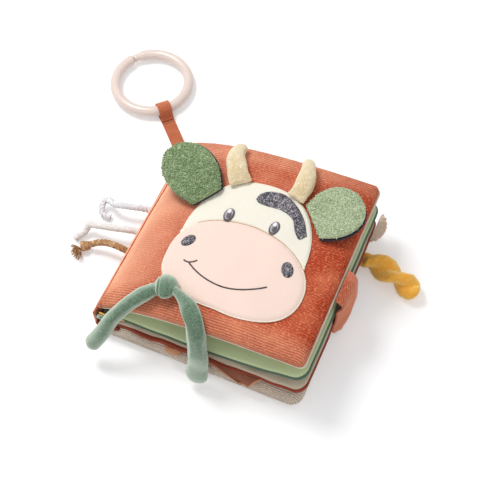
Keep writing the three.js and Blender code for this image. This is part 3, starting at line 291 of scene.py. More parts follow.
@dataclass(frozen=True)
class Panel:
    """Cloth with rounded corners, the hinge's kept apart from the others."""

    box: Box
    radius: float
    hinge_radius: float
    hinge_rim: float = 0

    def edge(self, s: np.ndarray, y: np.ndarray, hinge: bool = True) -> np.ndarray:
        """How far places lie inside the outline.

        Args:
            s: along the panel.
            y: across it.
            hinge: whether the bound edge counts too.
        Returns:
            distances, never below 0.
        """
        from_fore = self.box.x1 - s
        from_end = np.minimum(y - self.box.y0, self.box.y1 - y)
        corner = self.radius - np.hypot(self.radius - from_fore, self.radius - from_end)
        inside = (from_fore < self.radius) & (from_end < self.radius)
        edge = np.where(inside, corner, np.minimum(from_fore, from_end))
        if hinge:
            edge = np.minimum(edge, s - self.box.x0 - self.hinge_rim)
        return np.maximum(edge, 0)

    def grid(self, columns: int, rows: int) -> tuple[np.ndarray, np.ndarray, np.ndarray]:
        """Stations over the whole panel.

        Args:
            columns: stations along it.
            rows: stations across it.
        Returns:
            s, y and the column's own s before the corners draw it in.
        """
        box = self.box
        nominal, y = np.meshgrid(crowded(box.x0, box.x1, columns), crowded(box.y0, box.y1, rows))
        from_end = np.minimum(y - box.y0, box.y1 - y)

        def inset(radius: float) -> np.ndarray:
            """How far a rounded corner draws the edge in."""
            return radius - np.sqrt(np.maximum(0, radius**2 - np.maximum(0, radius - from_end) ** 2))

        low = box.x0 + inset(self.hinge_radius)
        high = box.x1 - inset(self.radius)
        return mix(low, high, (nominal - box.x0) / (box.x1 - box.x0)), y, nominal


def linear(colour: Rgb) -> tuple[float, float, float, float]:
    """A screen colour as the shader wants it.

    Args:
        colour: red, green and blue from 0 to 255.
    Returns:
        linear shares and an alpha of 1.
    """
    shares = [value / 255 for value in colour]
    light = [v / 12.92 if v <= 0.04045 else ((v + 0.055) / 1.055) ** 2.4 for v in shares]
    return (light[0], light[1], light[2], 1.0)


class Sketch:
    """Adds nodes to a tree and joins them."""

    def __init__(self, tree: bpy.types.NodeTree) -> None:
        """Keeps the tree that the nodes go into."""
        self.tree = tree

    def feed(self, node: bpy.types.Node, joins: dict) -> None:
        """Links sockets to a node's inputs, or sets the inputs' values.

        Args:
            node: the node.
            joins: by input name or number, a socket to link or a value to set.
        """
        for key, value in joins.items():
            if isinstance(value, bpy.types.NodeSocket):
                self.tree.links.new(value, node.inputs[key])
            else:
                node.inputs[key].default_value = value

    def add(self, kind: str, joins: dict | None = None, **settings: object) -> bpy.types.Node:
        """Adds one node.

        Args:
            kind: the node's type.
            joins: its inputs, as feed takes them.
            settings: the node's own properties.
        Returns:
            the node.
        """
        node = self.tree.nodes.new(kind)
        for key, value in settings.items():
            setattr(node, key, value)
        self.feed(node, joins or {})
        return node

    def sum(
        self, operation: str, first: object, second: object = 0.0, clamp: bool = False
    ) -> bpy.types.NodeSocket:
        """One step of arithmetic.

        Args:
            operation: what is done.
            first: a socket or a number.
            second: a socket or a number.
            clamp: whether the result is held between 0 and 1.
        Returns:
            the result's socket.
        """
        values = {0: first, 1: second}
        return self.add("ShaderNodeMath", values, operation=operation, use_clamp=clamp).outputs[0]

    def plus(self, first: object, second: object, clamp: bool = False) -> bpy.types.NodeSocket:
        """First plus second."""
        return self.sum("ADD", first, second, clamp)

    def minus(self, first: object, second: object) -> bpy.types.NodeSocket:
        """First less second."""
        return self.sum("SUBTRACT", first, second)

    def times(self, first: object, second: object, clamp: bool = False) -> bpy.types.NodeSocket:
        """First times second."""
        return self.sum("MULTIPLY", first, second, clamp)

    def over(self, first: object, second: object, clamp: bool = False) -> bpy.types.NodeSocket:
        """First divided by second."""
        return self.sum("DIVIDE", first, second, clamp)

    def above(self, value: object, start: float, gain: object) -> bpy.types.NodeSocket:
        """How far a value is above a start, from 0 to 1."""
        return self.times(self.minus(value, start), gain, True)

    def below(self, value: object, start: float, gain: object) -> bpy.types.NodeSocket:
        """How far a value is below a start, from 0 to 1."""
        return self.times(self.minus(start, value), gain, True)

    def blend(self, share: object, first: object, second: object) -> bpy.types.NodeSocket:
        """Mixes two colours by a share."""
        return self.add("ShaderNodeMix", {0: share, 6: first, 7: second}, data_type="RGBA").outputs[2]

    def noise(self, vector: object, scale: object, detail: float) -> bpy.types.NodeSocket:
        """Noise over a vector."""
        joins = {"Vector": vector, "Scale": scale, "Detail": detail}
        return self.add("ShaderNodeTexNoise", joins).outputs["Fac"]

    def parts(self, vector: object) -> bpy.types.bpy_prop_collection:
        """The X, Y and Z of a vector."""
        return self.add("ShaderNodeSeparateXYZ", {0: vector}).outputs

    def seen(self) -> bpy.types.NodeSocket:
        """1 where the camera looks straight, or by way of a shine or a clear thing.

        Returns:
            the socket with that share.
        """
        path = self.add("ShaderNodeLightPath").outputs
        through = self.sum("MAXIMUM", path["Is Glossy Ray"], path["Is Transmission Ray"])
        return self.sum("MAXIMUM", path["Is Camera Ray"], through)


Parts = tuple[bpy.types.NodeSocket, bpy.types.NodeSocket, bpy.types.NodeSocket]


def ribs(sketch: Sketch, given: bpy.types.bpy_prop_collection) -> Parts:
    """Fine corduroy: round ribs along X, flecked with paler and darker fibres.

    Args:
        sketch: the tree's drawer.
        given: the group's input sockets, by name.
    Returns:
        the darker share, the paler share and the height; the shares hold painted rib shade and highlights.
    """
    vector = given["Vector"]
    wander = sketch.times(sketch.noise(vector, scale=60.0, detail=1.0), 0.6)
    turn = sketch.plus(sketch.over(sketch.parts(vector)["Y"], given["Size"]), wander)
    rib = sketch.sum("ABSOLUTE", sketch.sum("SINE", sketch.times(turn, math.pi)))
    stretched = sketch.add("ShaderNodeMapping", {"Vector": vector, "Scale": (0.6, 1.0, 1.0)}).outputs[0]
    nap = sketch.noise(stretched, scale=950.0, detail=3.0)
    # Paler patches at random: the cloth's own wear.
    worn_and_sheen = sketch.noise(vector, scale=42.0, detail=5.0)
    # The grooves are painted darker as painted shade and the crests lighter as painted highlight, on top of the
    # bump.
    groove = sketch.below(rib, start=0.62, gain=sketch.times(given["Rib"], 1.1))
    dark = sketch.below(nap, start=0.48, gain=6.0)
    fleck = sketch.above(nap, start=0.53, gain=6.0)
    paler = sketch.above(worn_and_sheen, start=0.46, gain=1.7)
    crest_highlight = sketch.above(rib, start=0.75, gain=sketch.times(given["Rib"], 1.2))
    shade = sketch.sum("MAXIMUM", groove, sketch.times(dark, 0.7))
    spots = sketch.plus(sketch.times(fleck, 0.6), crest_highlight)
    bright = sketch.plus(spots, sketch.times(paler, 0.7), True)
    tall = sketch.times(given["Rib"], 0.6)
    return shade, bright, sketch.plus(sketch.times(rib, tall), sketch.times(nap, 0.3))


def weave(sketch: Sketch, given: bpy.types.bpy_prop_collection) -> Parts:
    """A plain weave: threads over and under each other.

    Args:
        sketch: the tree's drawer.
        given: the group's input sockets, by name.
    Returns:
        the darker share, the paler share and the height.
    """
    parts = sketch.parts(given["Vector"])
    warp, weft = (sketch.sum("SINE", sketch.over(parts[axis], given["Size"])) for axis in "XY")
    cross = sketch.times(sketch.plus(sketch.times(warp, weft), 1.0), 0.5)
    fibre = sketch.noise(given["Vector"], scale=1700.0, detail=2.0)
    shade = sketch.times(sketch.minus(1.0, cross), 0.5)
    height = sketch.plus(sketch.times(cross, 0.6), sketch.times(fibre, 0.4))
    return shade, sketch.above(fibre, start=0.5, gain=1.5), height


def pile(sketch: Sketch, given: bpy.types.bpy_prop_collection) -> Parts:
    """A brushed pile: tufts that lie this way and that.

    Args:
        sketch: the tree's drawer.
        given: the group's input sockets, by name.
    Returns:
        the darker share, the paler share and the height.
    """
    vector = given["Vector"]
    scale = sketch.over(1.0, given["Size"])
    cells = sketch.add("ShaderNodeTexVoronoi", {"Vector": vector, "Scale": scale}).outputs["Distance"]
    strokes = sketch.noise(vector, sketch.times(scale, 0.6), detail=4.0)
    brushed = sketch.noise(vector, sketch.times(scale, 0.25), detail=3.0)
    fibre = sketch.noise(vector, sketch.times(scale, 1.1), detail=2.0)
    uneven = sketch.plus(sketch.times(cells, 0.7), sketch.minus(0.5, strokes))
    soft = sketch.times(sketch.minus(brushed, 0.5), 1.4)
    spots = sketch.times(sketch.minus(fibre, 0.5), 3.2)
    height = sketch.minus(sketch.times(strokes, 0.7), sketch.times(cells, 0.5))
    return sketch.times(uneven, 1.3, True), sketch.plus(soft, spots, True), height


def yarn(sketch: Sketch, given: bpy.types.bpy_prop_collection) -> Parts:
    """Twisted yarn: fine fibres with a soft shine.

    Args:
        sketch: the tree's drawer.
        given: the group's input sockets, by name.
    Returns:
        the darker share, the paler share and the height.
    """
    scale = sketch.over(1.0, given["Size"])
    fibre = sketch.noise(given["Vector"], scale, detail=3.0)
    coarse = sketch.noise(given["Vector"], sketch.times(scale, 0.3), detail=2.0)
    return sketch.below(fibre, start=0.55, gain=3.0), sketch.above(coarse, start=0.48, gain=2.6), fibre


class Pattern(Enum):
    """How a finish is patterned."""

    RIBS = "corduroy_ribs"
    WEAVE = "plain_weave"
    PILE = "soft_pile"
    THREAD = "satin_thread"


DRAWN = {Pattern.RIBS: ribs, Pattern.WEAVE: weave, Pattern.PILE: pile, Pattern.THREAD: yarn}


@cache
def pattern_group(pattern: Pattern) -> bpy.types.NodeTree:
    """The shader group that the cloths of a pattern share, built when it is first asked for.

    Args:
        pattern: which one.
    Returns:
        the node group.
    """
    tree = bpy.data.node_groups.new(pattern.value, "ShaderNodeTree")
    kinds = {"Vector": "Vector", "Base": "Color", "Shade": "Color", "Light": "Color", "Size": "Float",
             "Grain": "Float", "Rib": "Float"}
    for name, kind in kinds.items():
        tree.interface.new_socket(name, in_out="INPUT", socket_type=f"NodeSocket{kind}")
    for name, kind in {"Color": "Color", "Height": "Float", "Roughness": "Float"}.items():
        tree.interface.new_socket(name, in_out="OUTPUT", socket_type=f"NodeSocket{kind}")
    sketch = Sketch(tree)
    given = sketch.add("NodeGroupInput").outputs
    shade, light, height = DRAWN[pattern](sketch, given)
    patchy = sketch.minus(sketch.times(sketch.noise(given["Vector"], scale=38.0, detail=2.0), 0.3), 0.15)
    tone = sketch.blend(sketch.times(shade, given["Grain"], True), given["Base"], given["Shade"])
    bright = sketch.plus(sketch.times(light, given["Grain"]), patchy, True)
    colour = sketch.blend(bright, tone, given["Light"])
    rough = sketch.plus(0.78, sketch.times(shade, 0.18), True)
    sketch.add("NodeGroupOutput", {"Color": colour, "Height": height, "Roughness": rough})
    return tree


def new_material(name: str) -> tuple[bpy.types.Material, Sketch, bpy.types.Node]:
    """A material with its sketch and its shader.

    Args:
        name: the material's name.
    Returns:
        the material, its drawer and its shader node.
    """
    made = bpy.data.materials.new(name)
    made.use_nodes = True
    return made, Sketch(made.node_tree), made.node_tree.nodes["Principled BSDF"]


@dataclass(frozen=True)
class Finish:
    """A cloth's colours and pattern. Sizes are in millimetres."""

    name: str
    pattern: Pattern
    base: Rgb
    shade: Rgb
    light: Rgb
    size: float
    bump: float
    grain: float = 1.0
    sheen: float = 0.0
    turn: float = 0.0
    # rim sets a painted sheen: seen at a grazing angle, the colour turns to a paler sheen colour, or else to light.
    rim: float = 0.0
    painted_sheen_colour: Rgb | None = None
    rib: float = 1.0
    # Whether the cover's painted sheen mask is laid on: painted shade toward the fore edge, clearer ribs in end
    # bands.
    worn_and_sheen: bool = False

    @cache
    def material(self) -> bpy.types.Material:
        """The finish as a material, made once.

        Returns:
            the material.
        """
        made, sketch, shader = new_material(f"{self.name}_finish")
        made.diffuse_color = linear(self.base)
        if self.pattern in (Pattern.RIBS, Pattern.WEAVE):
            place = sketch.add("ShaderNodeAttribute", attribute_name="lay").outputs["Vector"]
        else:
            place = sketch.add("ShaderNodeTexCoord").outputs["Object"]
        turn = (0, 0, math.radians(self.turn))
        turned = sketch.add("ShaderNodeMapping", {"Vector": place, "Rotation": turn})
        group = sketch.add("ShaderNodeGroup", node_tree=pattern_group(self.pattern))
        sketch.feed(group, {
            "Vector": turned.outputs[0], "Size": self.size * MM, "Grain": self.grain, "Rib": self.rib,
            "Base": linear(self.base), "Shade": linear(self.shade), "Light": linear(self.light)})
        joins = {"Height": group.outputs["Height"], "Distance": self.bump * MM, "Strength": 1.0}
        bump = sketch.add("ShaderNodeBump", joins).outputs[0]
        colour = group.outputs["Color"]
        # Painted sheen: the colour is mixed toward the sheen colour as the surface turns edge-on to the camera.
        if self.rim:
            facing = sketch.add("ShaderNodeLayerWeight", {"Blend": 0.6, "Normal": bump}).outputs["Facing"]
            painted_sheen_share = sketch.above(facing, start=0.14, gain=1.6 * self.rim)
            if self.worn_and_sheen:
                left, own = self.painted_sheen_mask(sketch, place, group)
                painted_sheen_share = sketch.plus(sketch.times(painted_sheen_share, left), own, True)
            colour = sketch.blend(painted_sheen_share, colour, linear(self.painted_sheen_colour or self.light))
        sketch.feed(shader, {
            "Base Color": colour, "Roughness": group.outputs["Roughness"], "Normal": bump,
            "Specular IOR Level": 0.1, "Sheen Weight": self.sheen, "Sheen Roughness": 0.5,
            "Sheen Tint": linear(self.light)})
        return made

    @staticmethod
    def painted_sheen_mask(sketch: Sketch, place: bpy.types.NodeSocket, group: bpy.types.Node) -> tuple:
        """The cover's painted sheen: clearer ribs by both ends, less painted sheen there and by the fore edge.

        Args:
            sketch: the material's tree.
            place: the cloth coordinates.
            group: the rib pattern, whose depth it sets.
        Returns:
            the share of painted sheen that is left, and the painted sheen the bands have of their own.
        """
        band_start, band_width, fore_start, fore_width = 0.056, 0.01, 0.074, 0.045
        parts = sketch.parts(place)
        past = sketch.minus(sketch.sum("ABSOLUTE", parts["Y"]), band_start)
        band = sketch.over(past, band_width, True)
        # Painted shade: the sheen fades out towards the fore edge, where the cover faces the window lamp less.
        fore = sketch.over(sketch.minus(fore_start, parts["X"]), fore_width, True)
        sketch.feed(group, {"Rib": sketch.plus(0.3, sketch.times(band, 1.1))})
        left = sketch.times(fore, sketch.minus(1.0, sketch.times(band, 0.75)))
        return left, sketch.times(band, 0.2)


@dataclass(frozen=True)
class Gloss:
    """A smooth finish: moulded plastic or thin film."""

    name: str
    base: Rgb
    shade: Rgb
    roughness: float
    mottle: float

    @cache
    def material(self) -> bpy.types.Material:
        """The finish as a material, made once.

        Returns:
            the material.
        """
        made, sketch, shader = new_material(f"{self.name}_finish")
        place = sketch.add("ShaderNodeTexCoord").outputs["Object"]
        cloud = sketch.noise(place, scale=60.0, detail=3.0)
        scuff = sketch.noise(place, scale=900.0, detail=2.0)
        sketch.feed(shader, {
            "Base Color": sketch.blend(cloud, linear(self.base), linear(self.shade)),
            "Roughness": sketch.plus(self.roughness, sketch.times(scuff, self.mottle)),
            "Normal": sketch.add("ShaderNodeBump", {"Height": scuff, "Distance": 0.02 * MM}).outputs[0],
            "Coat Weight": 0.35, "Coat Roughness": 0.12})
        return made


class Finishes:
    """Every finish on the book."""

    # Each finish with a rim carries a painted sheen at grazing angles, in its sheen colour or its light colour.
    corduroy = Finish("terracotta_corduroy", Pattern.RIBS, (176, 64, 36), (116, 36, 20), (240, 146, 106),
                      1.7, 0.3, 1.15, rim=1.1, painted_sheen_colour=(246, 184, 150), worn_and_sheen=True)
    strap = Finish("strap_corduroy", Pattern.RIBS, (182, 76, 48), (118, 42, 26), (240, 162, 128),
                   1.6, 0.3, turn=38, rim=0.6, rib=0.9)
    twill = Finish("strap_twill", Pattern.RIBS, (204, 108, 80), (160, 74, 52), (236, 164, 138),
                   0.9, 0.12, 0.7, turn=-30, rim=0.6, rib=0.6)
    beige_corduroy = Finish("beige_corduroy", Pattern.RIBS, (206, 188, 170), (152, 130, 112),
                            (238, 228, 214), 1.7, 0.4, 0.9, rib=1.3)
    beige = Finish("beige_cloth", Pattern.WEAVE, (206, 190, 168), (170, 152, 130),
                   (226, 214, 196), 0.25, 0.12)
    cream = Finish("cream_cloth", Pattern.WEAVE, (246, 240, 224), (222, 212, 192),
                   (252, 248, 238), 0.22, 0.1)
    ivory = Finish("ivory_velour", Pattern.PILE, (240, 236, 222), (226, 220, 204),
                   (246, 243, 232), 0.5, 0.12, 0.6)
    pink = Finish("pink_jersey", Pattern.WEAVE, (243, 219, 207), (232, 202, 188),
                  (249, 231, 221), 0.24, 0.08, 0.6)
    patch = Finish("charcoal_print", Pattern.PILE, (102, 98, 104), (54, 52, 60),
                   (200, 196, 202), 0.8, 0.12, 1.5)
    charcoal = Finish("charcoal_velour", Pattern.PILE, (58, 60, 68), (36, 37, 45), (92, 94, 102),
                      0.5, 0.12, rim=0.4)
    # One green plush twice: the left ear's copy darker as painted shade, the right ear's paler as painted light.
    boucle_painted_shade = Finish("green_boucle", Pattern.PILE, (140, 162, 118), (88, 110, 74), (196, 212, 172),
                    1.0, 0.3, 1.1, 0.1, rim=0.35)
    teddy = Finish("light_green_teddy", Pattern.PILE, (184, 198, 160), (138, 156, 116), (228, 236, 212),
                   0.9, 0.3, 0.9, 0.1, rim=0.45)
    velour = Finish("sage_velour", Pattern.PILE, (112, 137, 116), (82, 106, 86), (150, 172, 150),
                    0.8, 0.1, 1.0, 0.1, rim=0.9, painted_sheen_colour=(208, 220, 204))
    horn = Finish("cream_flannel", Pattern.PILE, (228, 209, 170), (200, 176, 134), (250, 240, 216),
                  0.9, 0.12, 0.9, 0.05, rim=0.5)
    green = Finish("pale_green_cloth", Pattern.WEAVE, (198, 210, 166), (164, 178, 130),
                   (216, 225, 190), 0.24, 0.1)
    dark_sage = Finish("dark_sage_cloth", Pattern.WEAVE, (92, 116, 98), (60, 82, 68),
                       (134, 156, 136), 0.24, 0.1)
    red = Finish("brick_cloth", Pattern.WEAVE, (160, 74, 56), (110, 46, 36), (202, 122, 100), 0.24, 0.12)
    yellow = Finish("yellow_velour", Pattern.PILE, (255, 194, 82), (240, 148, 40), (255, 222, 136),
                    0.9, 0.1, 0.7, 0.1, rim=0.6, painted_sheen_colour=(255, 226, 150))
    # Peach raised nearly to white as painted light, for the light that the book's shadow keeps off the ruffle.
    peach = Finish("peach_cloth", Pattern.WEAVE, (252, 228, 208), (232, 196, 172),
                   (255, 242, 230), 0.25, 0.12)
    # The tag's tan, darker than the loop's as painted shade for the book's shadow; the ribbon stitches use it too.
    tan = Finish("tan_ribbon", Pattern.WEAVE, (146, 92, 72), (98, 54, 40),
                 (188, 132, 108), 0.25, 0.12, rim=0.3)
    tag = Finish("tan_loop", Pattern.WEAVE, (204, 148, 112), (156, 98, 70),
                 (226, 178, 146), 0.25, 0.12, rim=0.5)
    ribbon = Finish("terracotta_ribbon", Pattern.WEAVE, (190, 104, 70), (140, 62, 38), (232, 164, 130),
                    0.5, 0.14, rim=0.4)
    wadding = Finish("white_wadding", Pattern.PILE, (244, 243, 238), (222, 220, 214),
                     (252, 252, 250), 2.0, 0.3)
    white = Finish("white_cord", Pattern.THREAD, (236, 236, 238), (184, 184, 192),
                   (255, 255, 255), 0.8, 0.2)
    off_white = Finish("off_white_cord", Pattern.THREAD, (238, 233, 229), (206, 200, 197),
                       (252, 250, 248), 0.8, 0.2)
    brown = Finish("brown_cord", Pattern.THREAD, (186, 140, 98), (112, 70, 42),
                   (232, 202, 164), 0.9, 0.25, 1.3)
    grey_thread = Finish("grey_thread", Pattern.THREAD, (104, 98, 102), (70, 65, 72),
                         (138, 132, 138), 0.5, 0.1)
    pale_thread = Finish("cream_thread", Pattern.THREAD, (250, 244, 228), (226, 214, 190),
                         (255, 252, 242), 0.5, 0.1)
    hem_thread = Finish("hem_thread", Pattern.THREAD, (206, 184, 146), (176, 152, 112),
                        (228, 210, 176), 0.5, 0.1)
    tan_thread = Finish("tan_thread", Pattern.THREAD, (204, 160, 132), (176, 130, 102),
                        (224, 188, 164), 0.5, 0.1)
    iris = Finish("silver_thread", Pattern.THREAD, (176, 172, 178), (140, 136, 142),
                  (214, 212, 216), 0.4, 0.08)
    dark_thread = Finish("dark_thread", Pattern.THREAD, (88, 80, 84), (60, 54, 58),
                         (116, 108, 112), 0.5, 0.1)
    shine = Finish("white_thread", Pattern.THREAD, (244, 244, 246), (214, 214, 220),
                   (255, 255, 255), 0.5, 0.08)
    blush = Gloss("blush_plastic", (230, 213, 204), (220, 201, 191), 0.22, 0.12)
    film = Gloss("crackle_film", (222, 226, 230), (198, 204, 210), 0.18, 0.1)


def attach(name: str, data: bpy.types.ID) -> bpy.types.Object:
    """A new object in the scene.

    Args:
        name: its name.
        data: its mesh, curve, lamp or camera data.
    Returns:
        the object.
    """
    piece = bpy.data.objects.new(name, data)
    bpy.context.scene.collection.objects.link(piece)
    return piece


def mesh_piece(name: str, points: np.ndarray, faces: list) -> bpy.types.Object:
    """Makes a smooth-shaded mesh whose faces point out.

    Args:
        name: the piece's name.
        points: its corners, in millimetres.
        faces: lists of corner numbers.
    Returns:
        the object, at the origin.
    """
    triangles = np.array([(f[0], f[i], f[i + 1]) for f in faces for i in range(1, len(f) - 1)])
    a, b, c = (points[triangles[:, corner]] for corner in range(3))
    if float((a * np.cross(b, c)).sum()) < 0:
        faces = [tuple(reversed(face)) for face in faces]
    mesh = bpy.data.meshes.new(name)
    mesh.from_pydata((points * MM).tolist(), [], faces)
    mesh.shade_smooth()
    mesh.update()
    return attach(name, mesh)


def lay_out(grid: np.ndarray) -> np.ndarray:
    """How far each point of a grid lies along its cloth in both directions, from the grid's middle.

    Args:
        grid: rows of points.
    Returns:
        the cloth coordinates of each point.
    """
    flat = np.zeros(grid.shape)
    for axis, column in ((1, 0), (0, 1)):
        run = np.cumsum(np.linalg.norm(np.diff(grid, axis=axis), axis=2), axis=axis)
        run = np.concatenate([np.zeros_like(np.take(run, [0], axis=axis)), run], axis=axis)
        flat[..., column] = run - np.take(run, [run.shape[axis] // 2], axis=axis)
    return flat


def write_lay(piece: bpy.types.Object, grids: Sequence[np.ndarray]) -> None:
    """Keeps the cloth coordinates on a mesh as its attribute lay.

    Args:
        piece: the mesh.
        grids: the points that it starts with, in rows.
    """
    values = np.vstack([lay_out(grid).reshape(-1, 3) for grid in grids])
    full = np.zeros((len(piece.data.vertices), 3), np.float32)
    full[: len(values)] = values * MM
    lay = piece.data.attributes.new("lay", "FLOAT_VECTOR", "POINT")
    lay.data.foreach_set("vector", full.ravel())


def quads_of(number: np.ndarray) -> np.ndarray:
    """The four-sided faces between the numbered points of a grid."""
    corners = [number[:-1, :-1], number[1:, :-1], number[1:, 1:], number[:-1, 1:]]
    return np.stack(corners, axis=-1).reshape(-1, 4)


def slab(name: str, upper: np.ndarray, lower: np.ndarray) -> bpy.types.Object:
    """Closes two grids of points into one body.

    Args:
        name: the piece's name.
        upper: the grid on one side.
        lower: the grid on the other.
    Returns:
        the closed mesh.
    """
    rows, columns = upper.shape[:2]
    count = rows * columns
    number = np.arange(count).reshape(rows, columns)
    quads = quads_of(number)
    faces = [tuple(face) for face in quads.tolist()]
    faces += [tuple(face[::-1]) for face in (quads + count).tolist()]
    rim = [*number[0, :-1], *number[:-1, -1], *number[-1, :0:-1], *number[:0:-1, 0]]
    for corner, after in zip(rim, rim[1:] + rim[:1]):
        faces.append((int(corner), int(after), int(count + after), int(count + corner)))
    piece = mesh_piece(name, np.vstack([upper.reshape(-1, 3), lower.reshape(-1, 3)]), faces)
    write_lay(piece, [upper, lower])
    return piece


def sheet_of(name: str, grid: np.ndarray) -> bpy.types.Object:
    """An open grid, for a geometry tree to spread things over.

    Args:
        name: the helper's name.
        grid: points of shape (rows, columns, 3), in mm.
    Returns:
        the mesh object.
    """
    number = np.arange(grid.shape[0] * grid.shape[1]).reshape(grid.shape[:2])
    mesh = bpy.data.meshes.new(name)
    mesh.from_pydata((grid.reshape(-1, 3) * MM).tolist(), [], quads_of(number).tolist())
    return attach(name, mesh)


def loft(name: str, rings: np.ndarray) -> bpy.types.Object:
    """Skins closed rings of points and caps both ends.

    Args:
        name: the piece's name.
        rings: the points of each ring in turn.
    Returns:
        the closed mesh.
    """
    rows, sides = rings.shape[:2]
    points = np.vstack([rings.reshape(-1, 3), rings[0].mean(axis=0), rings[-1].mean(axis=0)])
    last = (rows - 1) * sides
    faces = []
    for start in range(0, last, sides):
        for side in range(sides):
            after = (side + 1) % sides
            faces.append((start + side, start + after, start + sides + after, start + sides + side))
    for side in range(sides):
        after = (side + 1) % sides
        faces.append((rows * sides, after, side))
        faces.append((rows * sides + 1, last + side, last + after))
    piece = mesh_piece(name, points, faces)
    write_lay(piece, [rings])
    return piece


def rope(name: str, line: np.ndarray, radius: float, pitch: float, depth: float) -> bpy.types.Object:
    """A laid rope along a line, its three strands turning about it.

    Args:
        name: the piece's name.
        line: the points it follows, close together.
        radius: half its thickness.
        pitch: the length of one turn.
        depth: the share of the radius that the grooves take.
    Returns:
        the closed mesh.
    """
    strands, fullness, groove = 3, 1.1, 0.6
    angle = circle(20)
    phase = strands / 2 * (angle[None, :] - FULL * runs(line)[:, None] / pitch)
    reach = radius * (fullness - depth * (1 - np.abs(np.cos(phase)) ** groove))
    return loft(name, rings_about(line, level_frames(line), reach, reach, angle))


class Trees:
    """The geometry node trees, each built once."""

    @staticmethod
    def start(name: str, inputs: dict[str, str]) -> tuple[bpy.types.NodeTree, Sketch, dict]:
        """Begins a tree with its named inputs.

        Args:
            name: the tree's name.
            inputs: the names of its own inputs with their socket types.
        Returns:
            the tree, a sketch of it and its input sockets.
        """
        tree = bpy.data.node_groups.new(name, "GeometryNodeTree")
        kinds = {"Geometry": "Geometry", **inputs, "Thread": "Object", "Material": "Material"}
        for label, kind in kinds.items():
            tree.interface.new_socket(label, in_out="INPUT", socket_type=f"NodeSocket{kind}")
        tree.interface.new_socket("Geometry", in_out="OUTPUT", socket_type="NodeSocketGeometry")
        sketch = Sketch(tree)
        return tree, sketch, sketch.add("NodeGroupInput").outputs

    @staticmethod
    def close(sketch: Sketch, given: dict, joins: dict) -> None:
        """Ends a tree: threads are placed, made real and given their material.

        Args:
            sketch: the tree's sketch.
            given: its input sockets.
            joins: the points, the rotations and, if need be, the scales.
        """
        thread = sketch.add("GeometryNodeObjectInfo", {"Object": given["Thread"], "As Instance": True})
        joins = {**joins, "Instance": thread.outputs["Geometry"]}
        placed = sketch.add("GeometryNodeInstanceOnPoints", joins).outputs[0]
        real = sketch.add("GeometryNodeRealizeInstances", {0: placed}).outputs[0]
        dressed = sketch.add("GeometryNodeSetMaterial", {"Geometry": real, "Material": given["Material"]})
        sketch.add("NodeGroupOutput", {0: dressed.outputs[0]})

    @staticmethod
    @cache
    def stitches() -> bpy.types.NodeTree:
        """Threads laid one after another along a line, flat on its cloth.

        Returns:
            the geometry tree.
        """
        tree, sketch, given = Trees.start("stitch_row", {"Spacing": "Float"})
        curve = sketch.add("GeometryNodeMeshToCurve", {0: given["Geometry"]}).outputs[0]
        joins = {"Curve": curve, "Length": given["Spacing"]}
        spaced = sketch.add("GeometryNodeResampleCurve", joins, mode="LENGTH").outputs[0]
        lift = sketch.add("GeometryNodeInputNamedAttribute", {"Name": "lift"}, data_type="FLOAT_VECTOR")
        stand = sketch.add("FunctionNodeAlignRotationToVector", {"Vector": lift.outputs[0]}, axis="Z")
        ahead = sketch.add("GeometryNodeInputTangent").outputs[0]
        joins = {"Rotation": stand.outputs[0], "Vector": ahead}
        facing = sketch.add("FunctionNodeAlignRotationToVector", joins, axis="X", pivot_axis="Z").outputs[0]
        Trees.close(sketch, given, {"Points": spaced, "Rotation": facing})
        return tree

    @staticmethod
    @cache
    def tufts() -> bpy.types.NodeTree:
        """Tufts spread over a surface, each standing off it with a lean of its own.

        Returns:
            the geometry tree.
        """
        inputs = {"Density": "Float", "Seed": "Int", "Lean": "Float", "Smallest": "Float"}
        tree, sketch, given = Trees.start("tuft_field", inputs)
        joins = {"Mesh": given["Geometry"], "Density": given["Density"], "Seed": given["Seed"]}
        spread = sketch.add("GeometryNodeDistributePointsOnFaces", joins).outputs
        ends = []
        for most in ((-1.0, -1.0, -6.0), (1.0, 1.0, 6.0)):
            joins = {0: most, "Scale": given["Lean"]}
            ends.append(sketch.add("ShaderNodeVectorMath", joins, operation="SCALE").outputs[0])
        joins = {0: ends[0], 1: ends[1], "Seed": given["Seed"]}
        lean = sketch.add("FunctionNodeRandomValue", joins, data_type="FLOAT_VECTOR").outputs[0]
        turned = sketch.add("FunctionNodeEulerToRotation", {0: lean}).outputs[0]
        joins = {"Rotation": spread["Rotation"], "Rotate By": turned}
        stand = sketch.add("FunctionNodeRotateRotation", joins, rotation_space="LOCAL").outputs[0]
        joins = {2: given["Smallest"], 3: 1.0, "Seed": given["Seed"]}
        size = sketch.add("FunctionNodeRandomValue", joins, data_type="FLOAT").outputs[1]
        Trees.close(sketch, given, {"Points": spread["Points"], "Rotation": stand, "Scale": size})
        return tree


def evaluated(piece: bpy.types.Object) -> bpy.types.Mesh:
    """What a piece's modifiers make of it, as a new mesh."""
    return bpy.data.meshes.new_from_object(piece.evaluated_get(bpy.context.evaluated_depsgraph_get()))


def taken(piece: bpy.types.Object) -> bpy.types.Mesh:
    """Gives a piece the mesh that its modifiers make of it. The modifiers go.

    Args:
        piece: the object.
    Returns:
        its new mesh.
    """
    mesh = evaluated(piece)
    piece.modifiers.clear()
    piece.data = mesh
    mesh.name = piece.name
    return mesh


